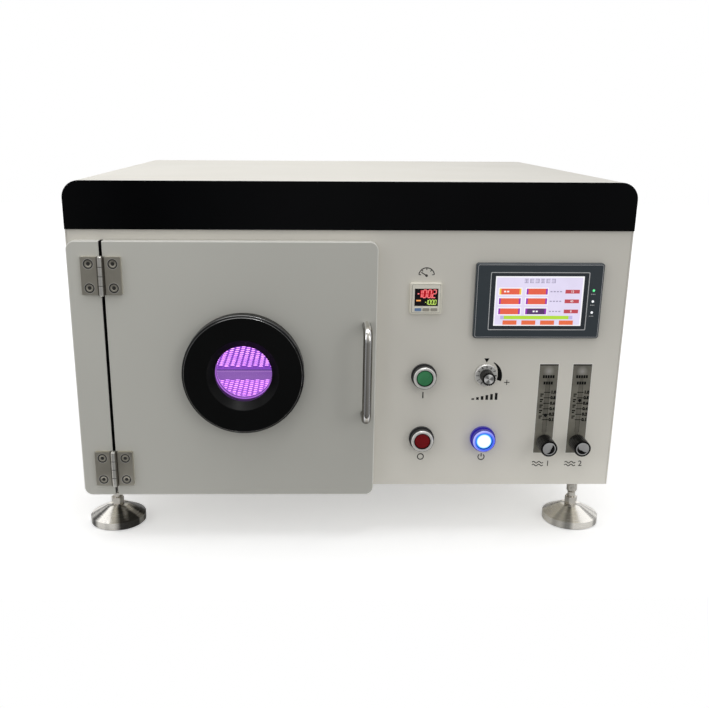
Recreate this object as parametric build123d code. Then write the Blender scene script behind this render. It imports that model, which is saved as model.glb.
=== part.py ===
from build123d import *
import os
from math import cos, pi, radians, sin

# Benchtop vacuum plasma cleaner, millimetres, +Z up.
# X is centred on the cabinet, Z is 0 under the feet, and Y is centred on the whole depth, front to -Y.

# Cabinet
body_width = 600.0
body_depth = 480.0
body_height = 340.0
cover_wall = 1.5
cover_corner_radius = 18.0
front_wall = 3.0
rear_wall = 2.0
pan_wall = 2.0
pan_flange_height = 18.0
sheet_gap = 0.3
band_height = 50.0
band_proud = 2.0
vent_count = 12
vent_pitch = 11.0
vent_width = 4.0
vent_length = 70.0
vent_first_depth = 290.0
vent_height = 120.0

# Feet
foot_height = 65.0
foot_side_inset = 25.0
foot_inset = 45.0
foot_pad_diameter = 65.0
foot_rim_height = 9.0
foot_cone_top_diameter = 24.0
foot_cone_top_height = 20.5
foot_ball_diameter = 13.0
foot_ball_gap = 0.3
foot_edge_chamfer = 1.0
foot_hex_flats = 13.0
foot_hex_height = 9.5
foot_neck_diameter = 9.0
foot_neck_height = 7.0
foot_stem_diameter = 12.0
foot_stem_top = 104.0
foot_stem_gap = 0.3
foot_nut_flats = 18.0
foot_nut_height = 8.0
foot_boss_diameter = 24.0
foot_boss_height = 14.0

# Door and its hinge strip
door_side_inset = 40.0
door_width = 289.0
door_overhang = 7.5
door_top_gap = 11.0
door_thickness = 11.0
door_gap = 1.0
door_corner_radius = 9.0
door_edge_fillet = 0.8
strip_gap = 3.2
strip_width = 34.5
strip_corner_radius = 9.0

# Hinges
hinge_width = 42.0
hinge_height = 40.0
hinge_leaf_thickness = 4.0
hinge_axis_lift = 4.2
hinge_knuckle_diameter = 8.0
hinge_knuckle_count = 4
hinge_knuckle_gap = 0.3
hinge_pin_diameter = 4.0
hinge_pin_press = 0.02
hinge_pin_running = 0.05
hinge_pin_head_diameter = 7.0
hinge_pin_head_height = 1.4
hinge_leaf_corner = 1.0
hinge_screw_spacing = 25.5
hinge_screw_hole = 5.3
hinge_screw_head = 10.0
hinge_upper_z = 243.0
hinge_lower_z = 25.7

# Window in the door
window_from_hinges = 145.2
window_z = 137.4
window_ring_diameter = 132.0
window_ring_proud = 15.0
window_ring_chamfer = 2.5
window_bevel_diameter = 78.0
window_bevel_depth = 8.0
window_opening_diameter = 62.0
window_glass_diameter = 78.0
window_glass_thickness = 6.0
window_glass_proud = 0.6
window_fit = 0.3
window_gasket_width = 5.0
window_gasket_thickness = 1.5

# Door handle
handle_edge_inset = 11.0
handle_z = 139.5
handle_spacing = 100.0
handle_reach = 33.0
handle_diameter = 10.0
handle_bend_radius = 11.0

# Vacuum chamber behind the door
chamber_width = 200.0
chamber_height = 200.0
chamber_depth = 240.0
chamber_wall = 5.0
chamber_flange_width = 236.0
chamber_flange_thickness = 12.0
chamber_flange_gap = 0.5
chamber_corner_radius = 6.0
chamber_flange_radius = 2.0
chamber_leg_width = 20.0
chamber_leg_spread = 140.0
chamber_leg_length = 180.0
seal_width = 5.0
seal_groove_depth = 3.0
seal_margin = 9.0
seal_proud = 0.75
seal_side_gap = 0.2
seal_edge_chamfer = 0.7

# Trays and their rails
tray_sheet = 1.5
tray_upper_z = 133.0
tray_lower_z = 75.0
tray_side_gap = 2.0
tray_front_gap = 15.0
tray_back_gap = 15.0
tray_lip_height = 12.0
rail_width = 8.0
rail_height = 12.0
rail_seat_gap = 0.2

# Vacuum line to the rear
vacuum_offset = 35.2
vacuum_z = 100.0
vacuum_bore = 26.0
vacuum_pipe_bore = 25.0
vacuum_valve_bore = 22.0
vacuum_tube_diameter = 31.0
vacuum_flange_diameter = 40.0
vacuum_flange_thickness = 4.0
vacuum_joint_gap = 0.3
vacuum_stub_length = 20.0
vacuum_valve_length = 80.0
vacuum_valve_width = 56.0
vacuum_coil_diameter = 42.0
vacuum_coil_height = 68.0
port_reach = 30.0
port_inner_length = 38.0
port_nut_flats = 41.0
port_nut_thickness = 8.0
port_collar_diameter = 44.0
port_collar_thickness = 4.0
port_rim_thickness = 3.5
port_rim_bevel = 2.5

# Radio-frequency feedthrough
feedthrough_offset = 54.8
feedthrough_z = 126.0
feedthrough_rod_diameter = 6.0
feedthrough_sleeve_diameter = 16.0
feedthrough_flange_diameter = 30.0
feedthrough_flange_thickness = 6.0
feedthrough_reach = 28.0
feedthrough_gap = 0.3
feedthrough_sleeve_inside = 5.0

# Boxes on the base pan
generator_size = (220.0, 250.0, 92.0)
generator_right_inset = 20.0
generator_depth_place = 150.0
generator_fin_count = 13
generator_fin_height = 14.0
generator_fin_thickness = 3.0
supply_size = (70.0, 150.0, 50.0)
supply_left_inset = 44.0
supply_depth_place = 270.0
supply_terminal_depth = 12.0
supply_terminal_height = 24.0
controller_size = (90.0, 110.0, 60.0)
controller_left_inset = 205.0
controller_depth_place = 310.0
controller_terminal_depth = 12.0
controller_terminal_height = 22.0

# Gas line
gas_inlet_right_insets = (278.0, 254.0)
gas_inlet_z = 150.0
gas_fitting_flats = 14.0
gas_fitting_reach = 18.0
gas_fitting_nut_thickness = 5.0
gas_fitting_head_thickness = 7.0
gas_fitting_collar_diameter = 13.0
gas_fitting_collar_end = 15.0
gas_fitting_inner_length = 20.0
gas_fitting_tail_diameter = 10.0
gas_fitting_bore = 6.1
gas_fitting_bore_depth = 14.0
gas_tube_diameter = 6.0
gas_tube_seat_gap = 0.3
gas_tube_bend = 12.0
gas_tube_tight_bend = 6.0
gas_turn_depths = (96.0, 80.0)
gas_nipple_diameter = 10.0
gas_nipple_bore = 4.0
gas_nipple_length = 14.0
gas_nipple_offsets = (54.8, 74.8)
gas_nipple_z = 200.0
gas_valve_right_inset = 280.0
gas_valve_depths = (120.0, 160.0)
gas_valve_size = (26.0, 28.0, 24.0)
gas_valve_coil_size = (20.0, 22.0, 30.0)
gas_valve_port_diameter = 9.0
gas_valve_port_length = 8.0
gas_drop_reach = 9.0
gas_crossing_depth = 68.0
gas_crossing_offset = 12.0
gas_rise_offsets = (33.0, 19.0)
gas_rise_reaches = (21.0, 9.0)

# Mains inlet
inlet_right_inset = 65.0
inlet_z = 140.0
inlet_flange = (50.0, 28.0)
inlet_flange_thickness = 3.0
inlet_flange_radius = 4.0
inlet_body = (28.0, 20.0)
inlet_body_length = 26.0
inlet_recess = (23.0, 15.5)
inlet_recess_depth = 16.0
inlet_recess_chamfer = 5.0
inlet_blade = (2.0, 4.0)
inlet_blade_length = 13.0
inlet_blade_pitch = 7.0
inlet_blade_step = 4.0

# Cooling fan
fan_right_inset = 150.0
fan_z = 235.0
fan_size = 80.0
fan_thickness = 25.0
fan_bore = 76.0
fan_corner_radius = 4.0
fan_rotor_diameter = 74.0
fan_hub_diameter = 32.0
fan_blade_count = 7
fan_blade_thickness = 1.6
fan_root_twist = 34.0
fan_tip_twist = 52.0
fan_blade_axial = 14.0
fan_hub_length = 19.0
fan_hub_cap = 2.0
fan_rotor_gap = 0.6
fan_pin_diameter = 3.0
fan_pin_gap = 0.05
fan_motor_diameter = 30.0
fan_motor_length = 4.0
fan_strut_width = 6.0
fan_guard_wire = 2.0
fan_guard_rings = (16.0, 30.0, 44.0, 58.0, 72.0)
fan_guard_span = 97.6

# Touch screen
screen_right_inset = 97.0
screen_z = 215.3
screen_bezel = (137.0, 82.0)
screen_bezel_proud = 6.0
screen_bezel_radius = 3.0
screen_bezel_chamfer = 1.2
screen_face = (105.0, 62.0)
screen_face_recess = 1.2
screen_face_gap = 0.2
screen_rear = (128.0, 74.0)
screen_rear_depth = 32.0

# Pressure display
gauge_right_inset = 218.0
gauge_z = 217.6
gauge_bezel = 34.4
gauge_bezel_proud = 4.0
gauge_bezel_radius = 2.0
gauge_bezel_chamfer = 0.8
gauge_corner_radius = 1.0
gauge_body = 30.0
gauge_body_proud = 5.0
gauge_body_depth = 30.0
gauge_screen = (25.6, 19.0)
gauge_screen_recess = 0.6
gauge_screen_rise = 1.6
gauge_key = (6.6, 3.4)
gauge_key_height = 0.5
gauge_key_drop = 11.4
gauge_key_pitch = 8.6
gauge_port_diameter = 8.0
gauge_port_length = 10.0

# Push buttons
button_right_insets = (216.8, 147.4)
button_rows = (130.3, 56.8)
button_bezel_diameter = 26.0
button_base_diameter = 28.0
button_base_height = 4.0
button_bezel_proud = 12.0
button_bezel_chamfer = 1.8
button_cap_diameter = 18.0
button_cap_thickness = 8.0
button_cap_recess = 0.6
button_cap_gap = 0.4
button_travel = 3.5
button_barrel_diameter = 22.0
button_barrel_length = 26.0
button_barrel_bore = 12.0
button_nut_flats = 27.0
button_nut_thickness = 4.0
button_stem_diameter = 8.0
button_block = (26.0, 32.0, 30.0)
button_block_slot = (4.0, 8.0, 10.0)
button_cap_edge = 1.0
button_block_gap = 0.4

# Power knob
knob_right_inset = 147.6
knob_row = 131.2
knob_skirt_diameter = 25.0
knob_skirt_thickness = 2.2
knob_skirt_gap = 0.8
knob_skirt_edge = 1.0
knob_diameter = 14.6
knob_height = 17.0
knob_flute_count = 20
knob_flute_depth = 0.5
knob_bore_depth = 11.0
pot_diameter = 24.0
pot_depth = 12.0
pot_back_wall = 2.0
pot_shaft_end_gap = 0.5
pot_bushing_diameter = 9.0
pot_bushing_reach = 0.3
pot_shaft_diameter = 6.0
pot_shaft_press = 0.02
pot_running = 0.05

# Flow meters
flow_right_insets = (77.8, 40.6)
flow_z = 91.3
flow_body = (20.8, 104.8)
flow_body_proud = 1.0
flow_body_depth = 22.0
flow_edge_chamfer = 0.8
flow_tube_bore = 4.2
flow_tube_depth = 6.0
flow_tube_low = 62.0
flow_tube_high = 136.0
flow_float_diameter = 3.4
flow_float_heights = (84.4, 101.8)
flow_port_diameter = 10.0
flow_port_length = 20.0
flow_port_low = 66.0
flow_port_high = 130.0
flow_knob_z = 53.6
flow_knob_diameter = 17.4
flow_knob_front = 27.0
flow_knob_back = 9.0
flow_knob_flute_count = 24
flow_knob_flute_depth = 0.4
flow_knob_cap_diameter = 14.6
flow_knob_cap_height = 0.8
flow_stem_diameter = 7.0
flow_stem_depth = 12.0
flow_stem_running = 0.05
flow_stem_end_gap = 0.5
flow_gland_diameter = 13.0
flow_gland_reach = 6.0

panel_fit = 0.5

# Places worked out from the sizes above
right_side = body_width / 2
front_reach = door_gap + door_thickness + handle_reach
panel_y = -(front_reach + body_depth + port_reach) / 2 + front_reach
rear_y = panel_y + body_depth
base_z = foot_height
top_z = base_z + body_height
door_left = -right_side + door_side_inset
door_right = door_left + door_width
door_bottom = base_z - door_overhang
door_height = top_z - band_height - door_top_gap - door_bottom
window_x = door_left + window_from_hinges
handle_x = door_right - handle_edge_inset
chamber_x = window_x
chamber_z = window_z
door_back_y = panel_y - door_gap
door_front_y = door_back_y - door_thickness
hinge_x = door_left - strip_gap / 2
hinge_y = door_front_y - hinge_axis_lift
strip_right = door_left - strip_gap
chamber_back_y = panel_y + chamber_depth + chamber_wall
tray_length = chamber_depth - tray_front_gap - tray_back_gap
foot_depths = (foot_inset, body_depth - foot_inset)
foot_x = right_side - foot_side_inset
vacuum_x = chamber_x - vacuum_offset
feedthrough_x = chamber_x + feedthrough_offset
gas_nipple_x = [chamber_x + offset for offset in gas_nipple_offsets]
gas_inlet_x = [right_side - inset for inset in gas_inlet_right_insets]
gas_valve_x = right_side - gas_valve_right_inset
generator_x = right_side - generator_right_inset - generator_size[0]
supply_x = -right_side + supply_left_inset
controller_x = -right_side + controller_left_inset
inlet_x = right_side - inlet_right_inset
fan_x = right_side - fan_right_inset
screen_x = right_side - screen_right_inset
gauge_x = right_side - gauge_right_inset
button_columns = [right_side - inset for inset in button_right_insets]
knob_column = right_side - knob_right_inset
flow_columns = [right_side - inset for inset in flow_right_insets]


def span_box(xs, ys, zs):
    """A box from its lowest and highest X, Y and Z."""
    middle = [(pair[0] + pair[1]) / 2 for pair in (xs, ys, zs)]
    return Pos(*middle) * Box(xs[1] - xs[0], ys[1] - ys[0], zs[1] - zs[0])


def rod_y(diameter, x, z, y_front, y_back):
    """A round rod along Y."""
    middle = (y_front + y_back) / 2
    return Pos(x, middle, z) * Rot(90, 0, 0) * Cylinder(diameter / 2, y_back - y_front)


def rod_z(diameter, x, y, z_low, z_high):
    """A round rod along Z."""
    return Pos(x, y, (z_low + z_high) / 2) * Cylinder(diameter / 2, z_high - z_low)


def plate(outline, y_front, y_back):
    """An outline drawn in X and Z, as a plate from y_front to y_back."""
    drawing = Plane(origin=(0, y_back, 0), x_dir=(1, 0, 0), z_dir=(0, -1, 0))
    return extrude(drawing * outline, amount=y_back - y_front)


def turned_y(profile, x, z):
    """Turn a (radius, y) profile about a line along Y through x and z."""
    face = make_face(Polyline(*profile, close=True))
    return Pos(x, 0, z) * revolve(face, axis=Axis.Y)


def turned_z(profile, x, y):
    """Turn a (radius, z) profile about a vertical line through x and y."""
    points = [(radius, 0, height) for radius, height in profile]
    face = make_face(Polyline(*points, close=True))
    return Pos(x, y, 0) * revolve(face, axis=Axis.Z)


def hexagon(flats):
    return RegularPolygon(radius=flats / 2, side_count=6, major_radius=False)


def nut_y(flats, bore, x, z, y_front, y_back):
    return plate(Pos(x, z) * (hexagon(flats) - Circle(bore / 2)), y_front, y_back)


def fluted_rod(diameter, flutes, depth, x, z, y_front, y_back):
    """A grip: a rod with shallow round flutes along it."""
    outline = Circle(diameter / 2)
    flute_radius = pi * diameter / flutes / 4
    for number in range(flutes):
        angle = radians(360 * number / flutes)
        reach = diameter / 2 + flute_radius - depth
        outline -= Pos(reach * cos(angle), reach * sin(angle)) * Circle(flute_radius)
    return plate(Pos(x, z) * outline, y_front, y_back)


def cabinet_outline(inset):
    """The cabinet seen from the front, with round top corners, inset from the outside."""
    radius = cover_corner_radius - inset
    width = body_width - 2 * inset
    height = body_height - inset
    outline = Pos(0, base_z + height / 2) * Rectangle(width, height)
    upper = outline.vertices().sort_by(Axis.Y)[-2:]
    return fillet(upper, radius)


def cabinet_cover():
    outline = cabinet_outline(0) - cabinet_outline(cover_wall)
    cover = plate(outline, panel_y, rear_y)
    for number in range(vent_count):
        depth = vent_first_depth + number * vent_pitch
        slot = Pos(panel_y + depth, base_z + vent_height) * Rot(0, 0, 90)
        slot *= SlotOverall(vent_length, vent_width)
        cover -= extrude(Plane.YZ * slot, amount=body_width, both=True)
    return cover


def base_pan():
    inset = cover_wall + sheet_gap
    half = body_width / 2 - inset
    front = panel_y + front_wall
    back = rear_y - rear_wall
    pan = span_box((-half, half), (front, back), (base_z, base_z + pan_flange_height))
    pan -= span_box(
        (-half + pan_wall, half - pan_wall),
        (front + pan_wall, back - pan_wall),
        (base_z + pan_wall, base_z + pan_flange_height + 1),
    )
    hole = foot_stem_diameter + 2 * foot_stem_gap
    for x, y in foot_places():
        pan += rod_z(foot_boss_diameter, x, y, base_z + pan_wall, base_z + foot_boss_height)
        pan -= rod_z(hole, x, y, base_z - 1, base_z + foot_boss_height + 1)
    return pan


def front_panel():
    panel = plate(cabinet_outline(cover_wall + sheet_gap), panel_y, panel_y + front_wall)
    opening = chamber_flange_width + 2 * chamber_flange_gap
    cuts = Pos(chamber_x, base_z + chamber_z) * Rectangle(opening, opening)
    cuts += Pos(screen_x, base_z + screen_z) * Rectangle(*[side + panel_fit for side in screen_rear])
    gauge_hole = gauge_body + 2 * panel_fit
    cuts += Pos(gauge_x, base_z + gauge_z) * Rectangle(gauge_hole, gauge_hole)
    for x, z in button_places():
        cuts += Pos(x, z) * Circle((button_barrel_diameter + panel_fit) / 2)
    cuts += Pos(knob_column, base_z + knob_row) * Circle((pot_bushing_diameter + panel_fit) / 2)
    for x in flow_columns:
        cuts += Pos(x, base_z + flow_z) * Rectangle(*[side + panel_fit for side in flow_body])
    return panel - plate(cuts, panel_y - 1, panel_y + front_wall + 1)


def fascia_band():
    band = plate(cabinet_outline(0), panel_y - band_proud, panel_y)
    below = span_box(
        (-body_width, body_width),
        (panel_y - band_proud - 1, panel_y + 1),
        (base_z - 1, top_z - band_height),
    )
    return band - below


def rear_panel():
    panel = plate(cabinet_outline(cover_wall + sheet_gap), rear_y - rear_wall, rear_y)
    cuts = Pos(vacuum_x, base_z + vacuum_z) * Circle(vacuum_tube_diameter / 2 + panel_fit)
    for x in gas_inlet_x:
        cuts += Pos(x, base_z + gas_inlet_z) * Circle(gas_fitting_tail_diameter / 2 + panel_fit)
    cuts += Pos(inlet_x, base_z + inlet_z) * Rectangle(*[side + panel_fit for side in inlet_body])
    cuts += Pos(fan_x, base_z + fan_z) * Circle(fan_bore / 2)
    return panel - plate(cuts, rear_y - rear_wall - 1, rear_y + 1)


def foot_places():
    return [(side * foot_x, panel_y + depth) for depth in foot_depths for side in (-1, 1)]


def foot_pad(x, y):
    """A turned base with a cone above its rim and a round socket for the ball."""
    rim = foot_pad_diameter / 2
    cone = foot_cone_top_diameter / 2
    edge = foot_edge_chamfer
    pad = turned_z(
        [(0, 0), (rim - edge, 0), (rim, edge), (rim, foot_rim_height),
         (cone, foot_cone_top_height), (0, foot_cone_top_height)], x, y)
    ball_z = foot_cone_top_height - foot_ball_diameter / 4
    socket = Pos(x, y, ball_z) * Sphere(foot_ball_diameter / 2 + foot_ball_gap)
    mouth = rod_z(foot_ball_diameter, x, y, ball_z, foot_cone_top_height + 1)
    return pad - socket - mouth


def foot_stem(x, y):
    """A ball, a spanner hexagon, a neck and the threaded stem."""
    ball_z = foot_cone_top_height - foot_ball_diameter / 4
    hex_low = foot_cone_top_height + foot_ball_gap
    hex_high = hex_low + foot_hex_height
    neck_high = hex_high + foot_neck_height
    stem = Pos(x, y, ball_z) * Sphere(foot_ball_diameter / 2)
    stem += rod_z(foot_neck_diameter, x, y, ball_z, neck_high)
    stem += extrude(Pos(x, y, hex_low) * hexagon(foot_hex_flats), amount=foot_hex_height)
    outer = foot_stem_diameter / 2
    neck = foot_neck_diameter / 2
    edge = foot_edge_chamfer
    stem += turned_z(
        [(0, neck_high - edge), (neck, neck_high - edge), (outer, neck_high + edge),
         (outer, foot_stem_top - edge), (outer - edge, foot_stem_top), (0, foot_stem_top)], x, y)
    return stem


def foot_lock_nuts():
    nuts = []
    for x, y in foot_places():
        bore = foot_stem_diameter + 2 * foot_stem_gap
        ring = Pos(x, y, base_z - foot_nut_height) * (hexagon(foot_nut_flats) - Circle(bore / 2))
        nuts.append(extrude(ring, amount=foot_nut_height))
    return Compound(children=nuts)


def rounded_corners(outline, corners, radius):
    """Round only the corners that lie nearest the given points."""
    chosen = []
    for x, z in corners:
        chosen.append(min(outline.vertices(), key=lambda v: (v.X - x) ** 2 + (v.Y - z) ** 2))
    return fillet(chosen, radius)


def hinge_strip():
    left = strip_right - strip_width
    top = door_bottom + door_height
    outline = Pos(strip_right - strip_width / 2, (door_bottom + top) / 2)
    outline *= Rectangle(strip_width, door_height)
    outline = rounded_corners(outline, [(left, door_bottom), (left, top)], strip_corner_radius)
    strip = plate(outline, door_front_y, panel_y)
    front_edges = strip.faces().sort_by(Axis.Y)[0].edges()
    return fillet(front_edges, door_edge_fillet)


def door_plate():
    top = door_bottom + door_height
    outline = Pos((door_left + door_right) / 2, (door_bottom + top) / 2)
    outline *= Rectangle(door_width, door_height)
    corners = [(door_right, door_bottom), (door_right, top)]
    outline = rounded_corners(outline, corners, door_corner_radius)
    door = plate(outline, door_front_y, door_back_y)
    door = fillet(door.faces().sort_by(Axis.Y)[0].edges(), door_edge_fillet)
    x = window_x
    z = base_z + window_z
    door -= rod_y(window_opening_diameter, x, z, door_front_y - 1, door_back_y + 1)
    pocket = window_glass_diameter + 2 * window_fit
    return door - rod_y(pocket, x, z, door_front_y - 1, glass_back_y() + window_gasket_thickness)


def glass_back_y():
    return door_front_y - window_glass_proud + window_glass_thickness


def window_glass():
    front = door_front_y - window_glass_proud
    return rod_y(window_glass_diameter, window_x, base_z + window_z, front, glass_back_y())


def window_gasket():
    outer = window_glass_diameter / 2
    ring = Circle(outer) - Circle(outer - window_gasket_width)
    back = glass_back_y() + window_gasket_thickness
    return plate(Pos(window_x, base_z + window_z) * ring, glass_back_y(), back)


def window_ring():
    """The black clamp ring: chamfered rim, funnel bevel, short bore and a rear seat for the glass."""
    outer = window_ring_diameter / 2
    front = door_front_y - window_ring_proud
    bevel = window_bevel_diameter / 2
    bore = window_opening_diameter / 2
    seat = window_glass_diameter / 2 + window_fit
    seat_y = door_front_y - window_glass_proud - window_fit
    cham = window_ring_chamfer
    profile = [
        (bore, seat_y), (bore, front + window_bevel_depth), (bevel, front), (outer - cham, front),
        (outer, front + cham), (outer, door_front_y), (seat, door_front_y), (seat, seat_y),
    ]
    return turned_y(profile, window_x, base_z + window_z)


def door_handle():
    """A bar bent to a U, with both ends square on the door."""
    bar_y = door_front_y - handle_reach + handle_diameter / 2
    low = base_z + handle_z - handle_spacing / 2
    high = low + handle_spacing
    corners = [(handle_x, door_front_y, low), (handle_x, bar_y, low)]
    corners += [(handle_x, bar_y, high), (handle_x, door_front_y, high)]
    path = FilletPolyline(*corners, radius=handle_bend_radius)
    start = Plane(origin=corners[0], x_dir=(1, 0, 0), z_dir=(0, -1, 0))
    return sweep(start * Circle(handle_diameter / 2), path=path)


def knuckle_spans(centre_z):
    """The height span of each knuckle, from the top down."""
    pitch = hinge_height / hinge_knuckle_count
    top = base_z + centre_z + hinge_height / 2
    return [(top - (n + 1) * pitch, top - n * pitch) for n in range(hinge_knuckle_count)]


def hinge_leaf(centre_z, side, first_knuckle, bore):
    """A leaf with countersunk holes on one side, -1 left or 1 right, and every second knuckle."""
    low = base_z + centre_z - hinge_height / 2
    back = door_front_y
    front = door_front_y - hinge_leaf_thickness
    inner = hinge_x + side * (hinge_knuckle_diameter / 2 + hinge_knuckle_gap)
    outer = hinge_x + side * hinge_width / 2
    leaf = span_box(sorted((inner, outer)), (front, back), (low, low + hinge_height))
    leaf = fillet(leaf.edges().filter_by(Axis.Y).group_by(Axis.X)[0 if side < 0 else -1], hinge_leaf_corner)
    for number, (z_low, z_high) in enumerate(knuckle_spans(centre_z)):
        if number % 2 == first_knuckle:
            ends = (z_low + hinge_knuckle_gap / 2, z_high - hinge_knuckle_gap / 2)
            leaf += span_box(sorted((hinge_x, inner)), (front, back - sheet_gap), ends)
            leaf += rod_z(hinge_knuckle_diameter, hinge_x, hinge_y, *ends)
    leaf -= rod_z(bore, hinge_x, hinge_y, low - 1, low + hinge_height + 1)
    for hole_z in hinge_screw_heights(centre_z):
        x = hinge_x + side * hinge_screw_spacing / 2
        leaf -= countersink(x, hole_z, front, back)
    return leaf


def hinge_screw_heights(centre_z):
    return [base_z + centre_z + half * hinge_screw_spacing / 2 for half in (-1, 1)]


def countersink(x, z, front, back):
    head = hinge_screw_head / 2
    hole = hinge_screw_hole / 2
    profile = [(0, front - 1), (head, front - 1), (head, front), (hole, front + head - hole)]
    return turned_y(profile + [(hole, back + 1), (0, back + 1)], x, z)


def hinge_leaves(side, first_knuckle, bore):
    leaves = [hinge_leaf(z, side, first_knuckle, bore) for z in (hinge_upper_z, hinge_lower_z)]
    return Compound(children=leaves)


def hinge_pins():
    """Pins with a low domed head at each end."""
    pins = []
    quarter_turns = [radians(angle) for angle in (90, 60, 30, 0)]
    shank = hinge_pin_diameter / 2
    head = hinge_pin_head_diameter / 2
    rise = hinge_pin_head_height
    for centre_z in (hinge_upper_z, hinge_lower_z):
        low = base_z + centre_z - hinge_height / 2
        high = low + hinge_height
        dome = [(head * cos(angle), rise * sin(angle)) for angle in quarter_turns]
        lower = [(radius, low - step) for radius, step in dome]
        upper = [(radius, high + step) for radius, step in reversed(dome)]
        profile = lower + [(shank, low), (shank, high)] + upper
        pins.append(turned_z(profile, hinge_x, hinge_y))
    return Compound(children=pins)


def seal_outline(width_out):
    side = chamber_flange_width - 2 * seal_margin + 2 * width_out
    return Pos(chamber_x, base_z + chamber_z) * RectangleRounded(side, side, seal_margin + width_out)


def chamber_body():
    """A welded steel box, open to the front, with its sealing flange, legs, vacuum stub and gas nipples."""
    x = chamber_x
    z = base_z + chamber_z
    outer_w = chamber_width + 2 * chamber_wall
    outer_h = chamber_height + 2 * chamber_wall
    corner = chamber_corner_radius
    shell = Pos(x, z) * RectangleRounded(outer_w, outer_h, corner + chamber_wall)
    body = plate(shell, panel_y, chamber_back_y)
    flange = Pos(x, z)
    flange *= RectangleRounded(chamber_flange_width, chamber_flange_width, chamber_flange_radius)
    body += plate(flange, panel_y, panel_y + chamber_flange_thickness)
    for side in (-1, 1):
        leg_x = x + side * chamber_leg_spread / 2
        front = panel_y + chamber_depth - chamber_leg_length
        body += span_box(
            (leg_x - chamber_leg_width / 2, leg_x + chamber_leg_width / 2),
            (front, chamber_back_y - chamber_wall),
            (base_z + pan_wall, z - outer_h / 2 + 1),
        )
    stub_end = chamber_back_y + vacuum_stub_length
    vac_z = base_z + vacuum_z
    body += rod_y(vacuum_tube_diameter, vacuum_x, vac_z, chamber_back_y - 1, stub_end)
    body += rod_y(vacuum_flange_diameter, vacuum_x, vac_z, stub_end - vacuum_flange_thickness, stub_end)
    nipple_end = chamber_back_y + gas_nipple_length
    nipple_z = base_z + gas_nipple_z
    for nipple_x in gas_nipple_x:
        body += rod_y(gas_nipple_diameter, nipple_x, nipple_z, chamber_back_y - 1, nipple_end)
    body -= plate(
        Pos(x, z) * RectangleRounded(chamber_width, chamber_height, corner),
        panel_y - 1, panel_y + chamber_depth)
    inside = chamber_back_y - chamber_wall - 1
    body -= rod_y(vacuum_bore, vacuum_x, vac_z, inside, stub_end + 1)
    for nipple_x in gas_nipple_x:
        body -= rod_y(gas_nipple_bore, nipple_x, nipple_z, inside, nipple_end + 1)
    sleeve = feedthrough_sleeve_diameter + 2 * feedthrough_gap
    body -= rod_y(sleeve, feedthrough_x, base_z + feedthrough_z, inside, chamber_back_y + 1)
    groove = seal_outline(seal_side_gap) - seal_outline(-seal_width - seal_side_gap)
    return body - plate(groove, panel_y - 1, panel_y + seal_groove_depth)


def door_seal():
    ring = seal_outline(0) - seal_outline(-seal_width)
    seal = plate(ring, panel_y - seal_proud, panel_y + seal_groove_depth)
    return chamfer(seal.faces().sort_by(Axis.Y)[0].edges(), seal_edge_chamfer)


def tray(top_z_offset):
    """A sheet with lips folded down at the front and back, resting on the rails at its sides."""
    top = base_z + top_z_offset
    half = chamber_width / 2 - tray_side_gap
    lip_half = chamber_width / 2 - rail_width - tray_side_gap
    front = panel_y + tray_front_gap
    back = front + tray_length
    sheet = span_box((chamber_x - half, chamber_x + half), (front, back), (top - tray_sheet, top))
    for start in (front, back - tray_sheet):
        sheet += span_box(
            (chamber_x - lip_half, chamber_x + lip_half),
            (start, start + tray_sheet),
            (top - tray_lip_height, top),
        )
    return sheet


def tray_rails():
    rails = []
    for height in (tray_upper_z, tray_lower_z):
        seat = base_z + height - tray_sheet - rail_seat_gap
        for side in (-1, 1):
            wall = chamber_x + side * (chamber_width / 2)
            xs = sorted((wall, wall - side * rail_width))
            rails.append(span_box(
                xs,
                (panel_y + tray_front_gap, panel_y + tray_front_gap + tray_length),
                (seat - rail_height, seat)))
    return Compound(children=rails)


def rf_feedthrough():
    """A ceramic sleeve with a flange on the rear wall, and the rod that feeds the upper tray."""
    x = feedthrough_x
    z = base_z + feedthrough_z
    tray_back = panel_y + tray_front_gap + tray_length
    sleeve_front = chamber_back_y - chamber_wall - feedthrough_sleeve_inside
    flange_back = chamber_back_y + feedthrough_gap + feedthrough_flange_thickness
    piece = rod_y(feedthrough_sleeve_diameter, x, z, sleeve_front, flange_back)
    piece += rod_y(feedthrough_flange_diameter, x, z, chamber_back_y + feedthrough_gap, flange_back)
    rod_end = chamber_back_y + feedthrough_reach
    return piece + rod_y(feedthrough_rod_diameter, x, z, tray_back + feedthrough_gap, rod_end)


def on_pan(size, x, depth):
    """Spans of a box that stands on the base pan, from its left side and its depth behind the panel."""
    floor = base_z + pan_wall
    y = panel_y + depth
    return (x, x + size[0]), (y, y + size[1]), (floor, floor + size[2])


def rf_generator():
    """A closed housing under a row of cooling fins."""
    xs, ys, zs = on_pan(generator_size, generator_x, generator_depth_place)
    unit = span_box(xs, ys, zs)
    pitch = (generator_size[0] - generator_fin_thickness) / (generator_fin_count - 1)
    for number in range(generator_fin_count):
        start = xs[0] + number * pitch
        fin_z = (zs[1] - 1, zs[1] + generator_fin_height)
        unit += span_box((start, start + generator_fin_thickness), ys, fin_z)
    return unit


def power_supply():
    """A closed housing with its terminals in a step at the front."""
    xs, ys, zs = on_pan(supply_size, supply_x, supply_depth_place)
    step = span_box(
        (xs[0] - 1, xs[1] + 1),
        (ys[0] - 1, ys[0] + supply_terminal_depth),
        (zs[1] - supply_terminal_height, zs[1] + 1),
    )
    return span_box(xs, ys, zs) - step


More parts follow.
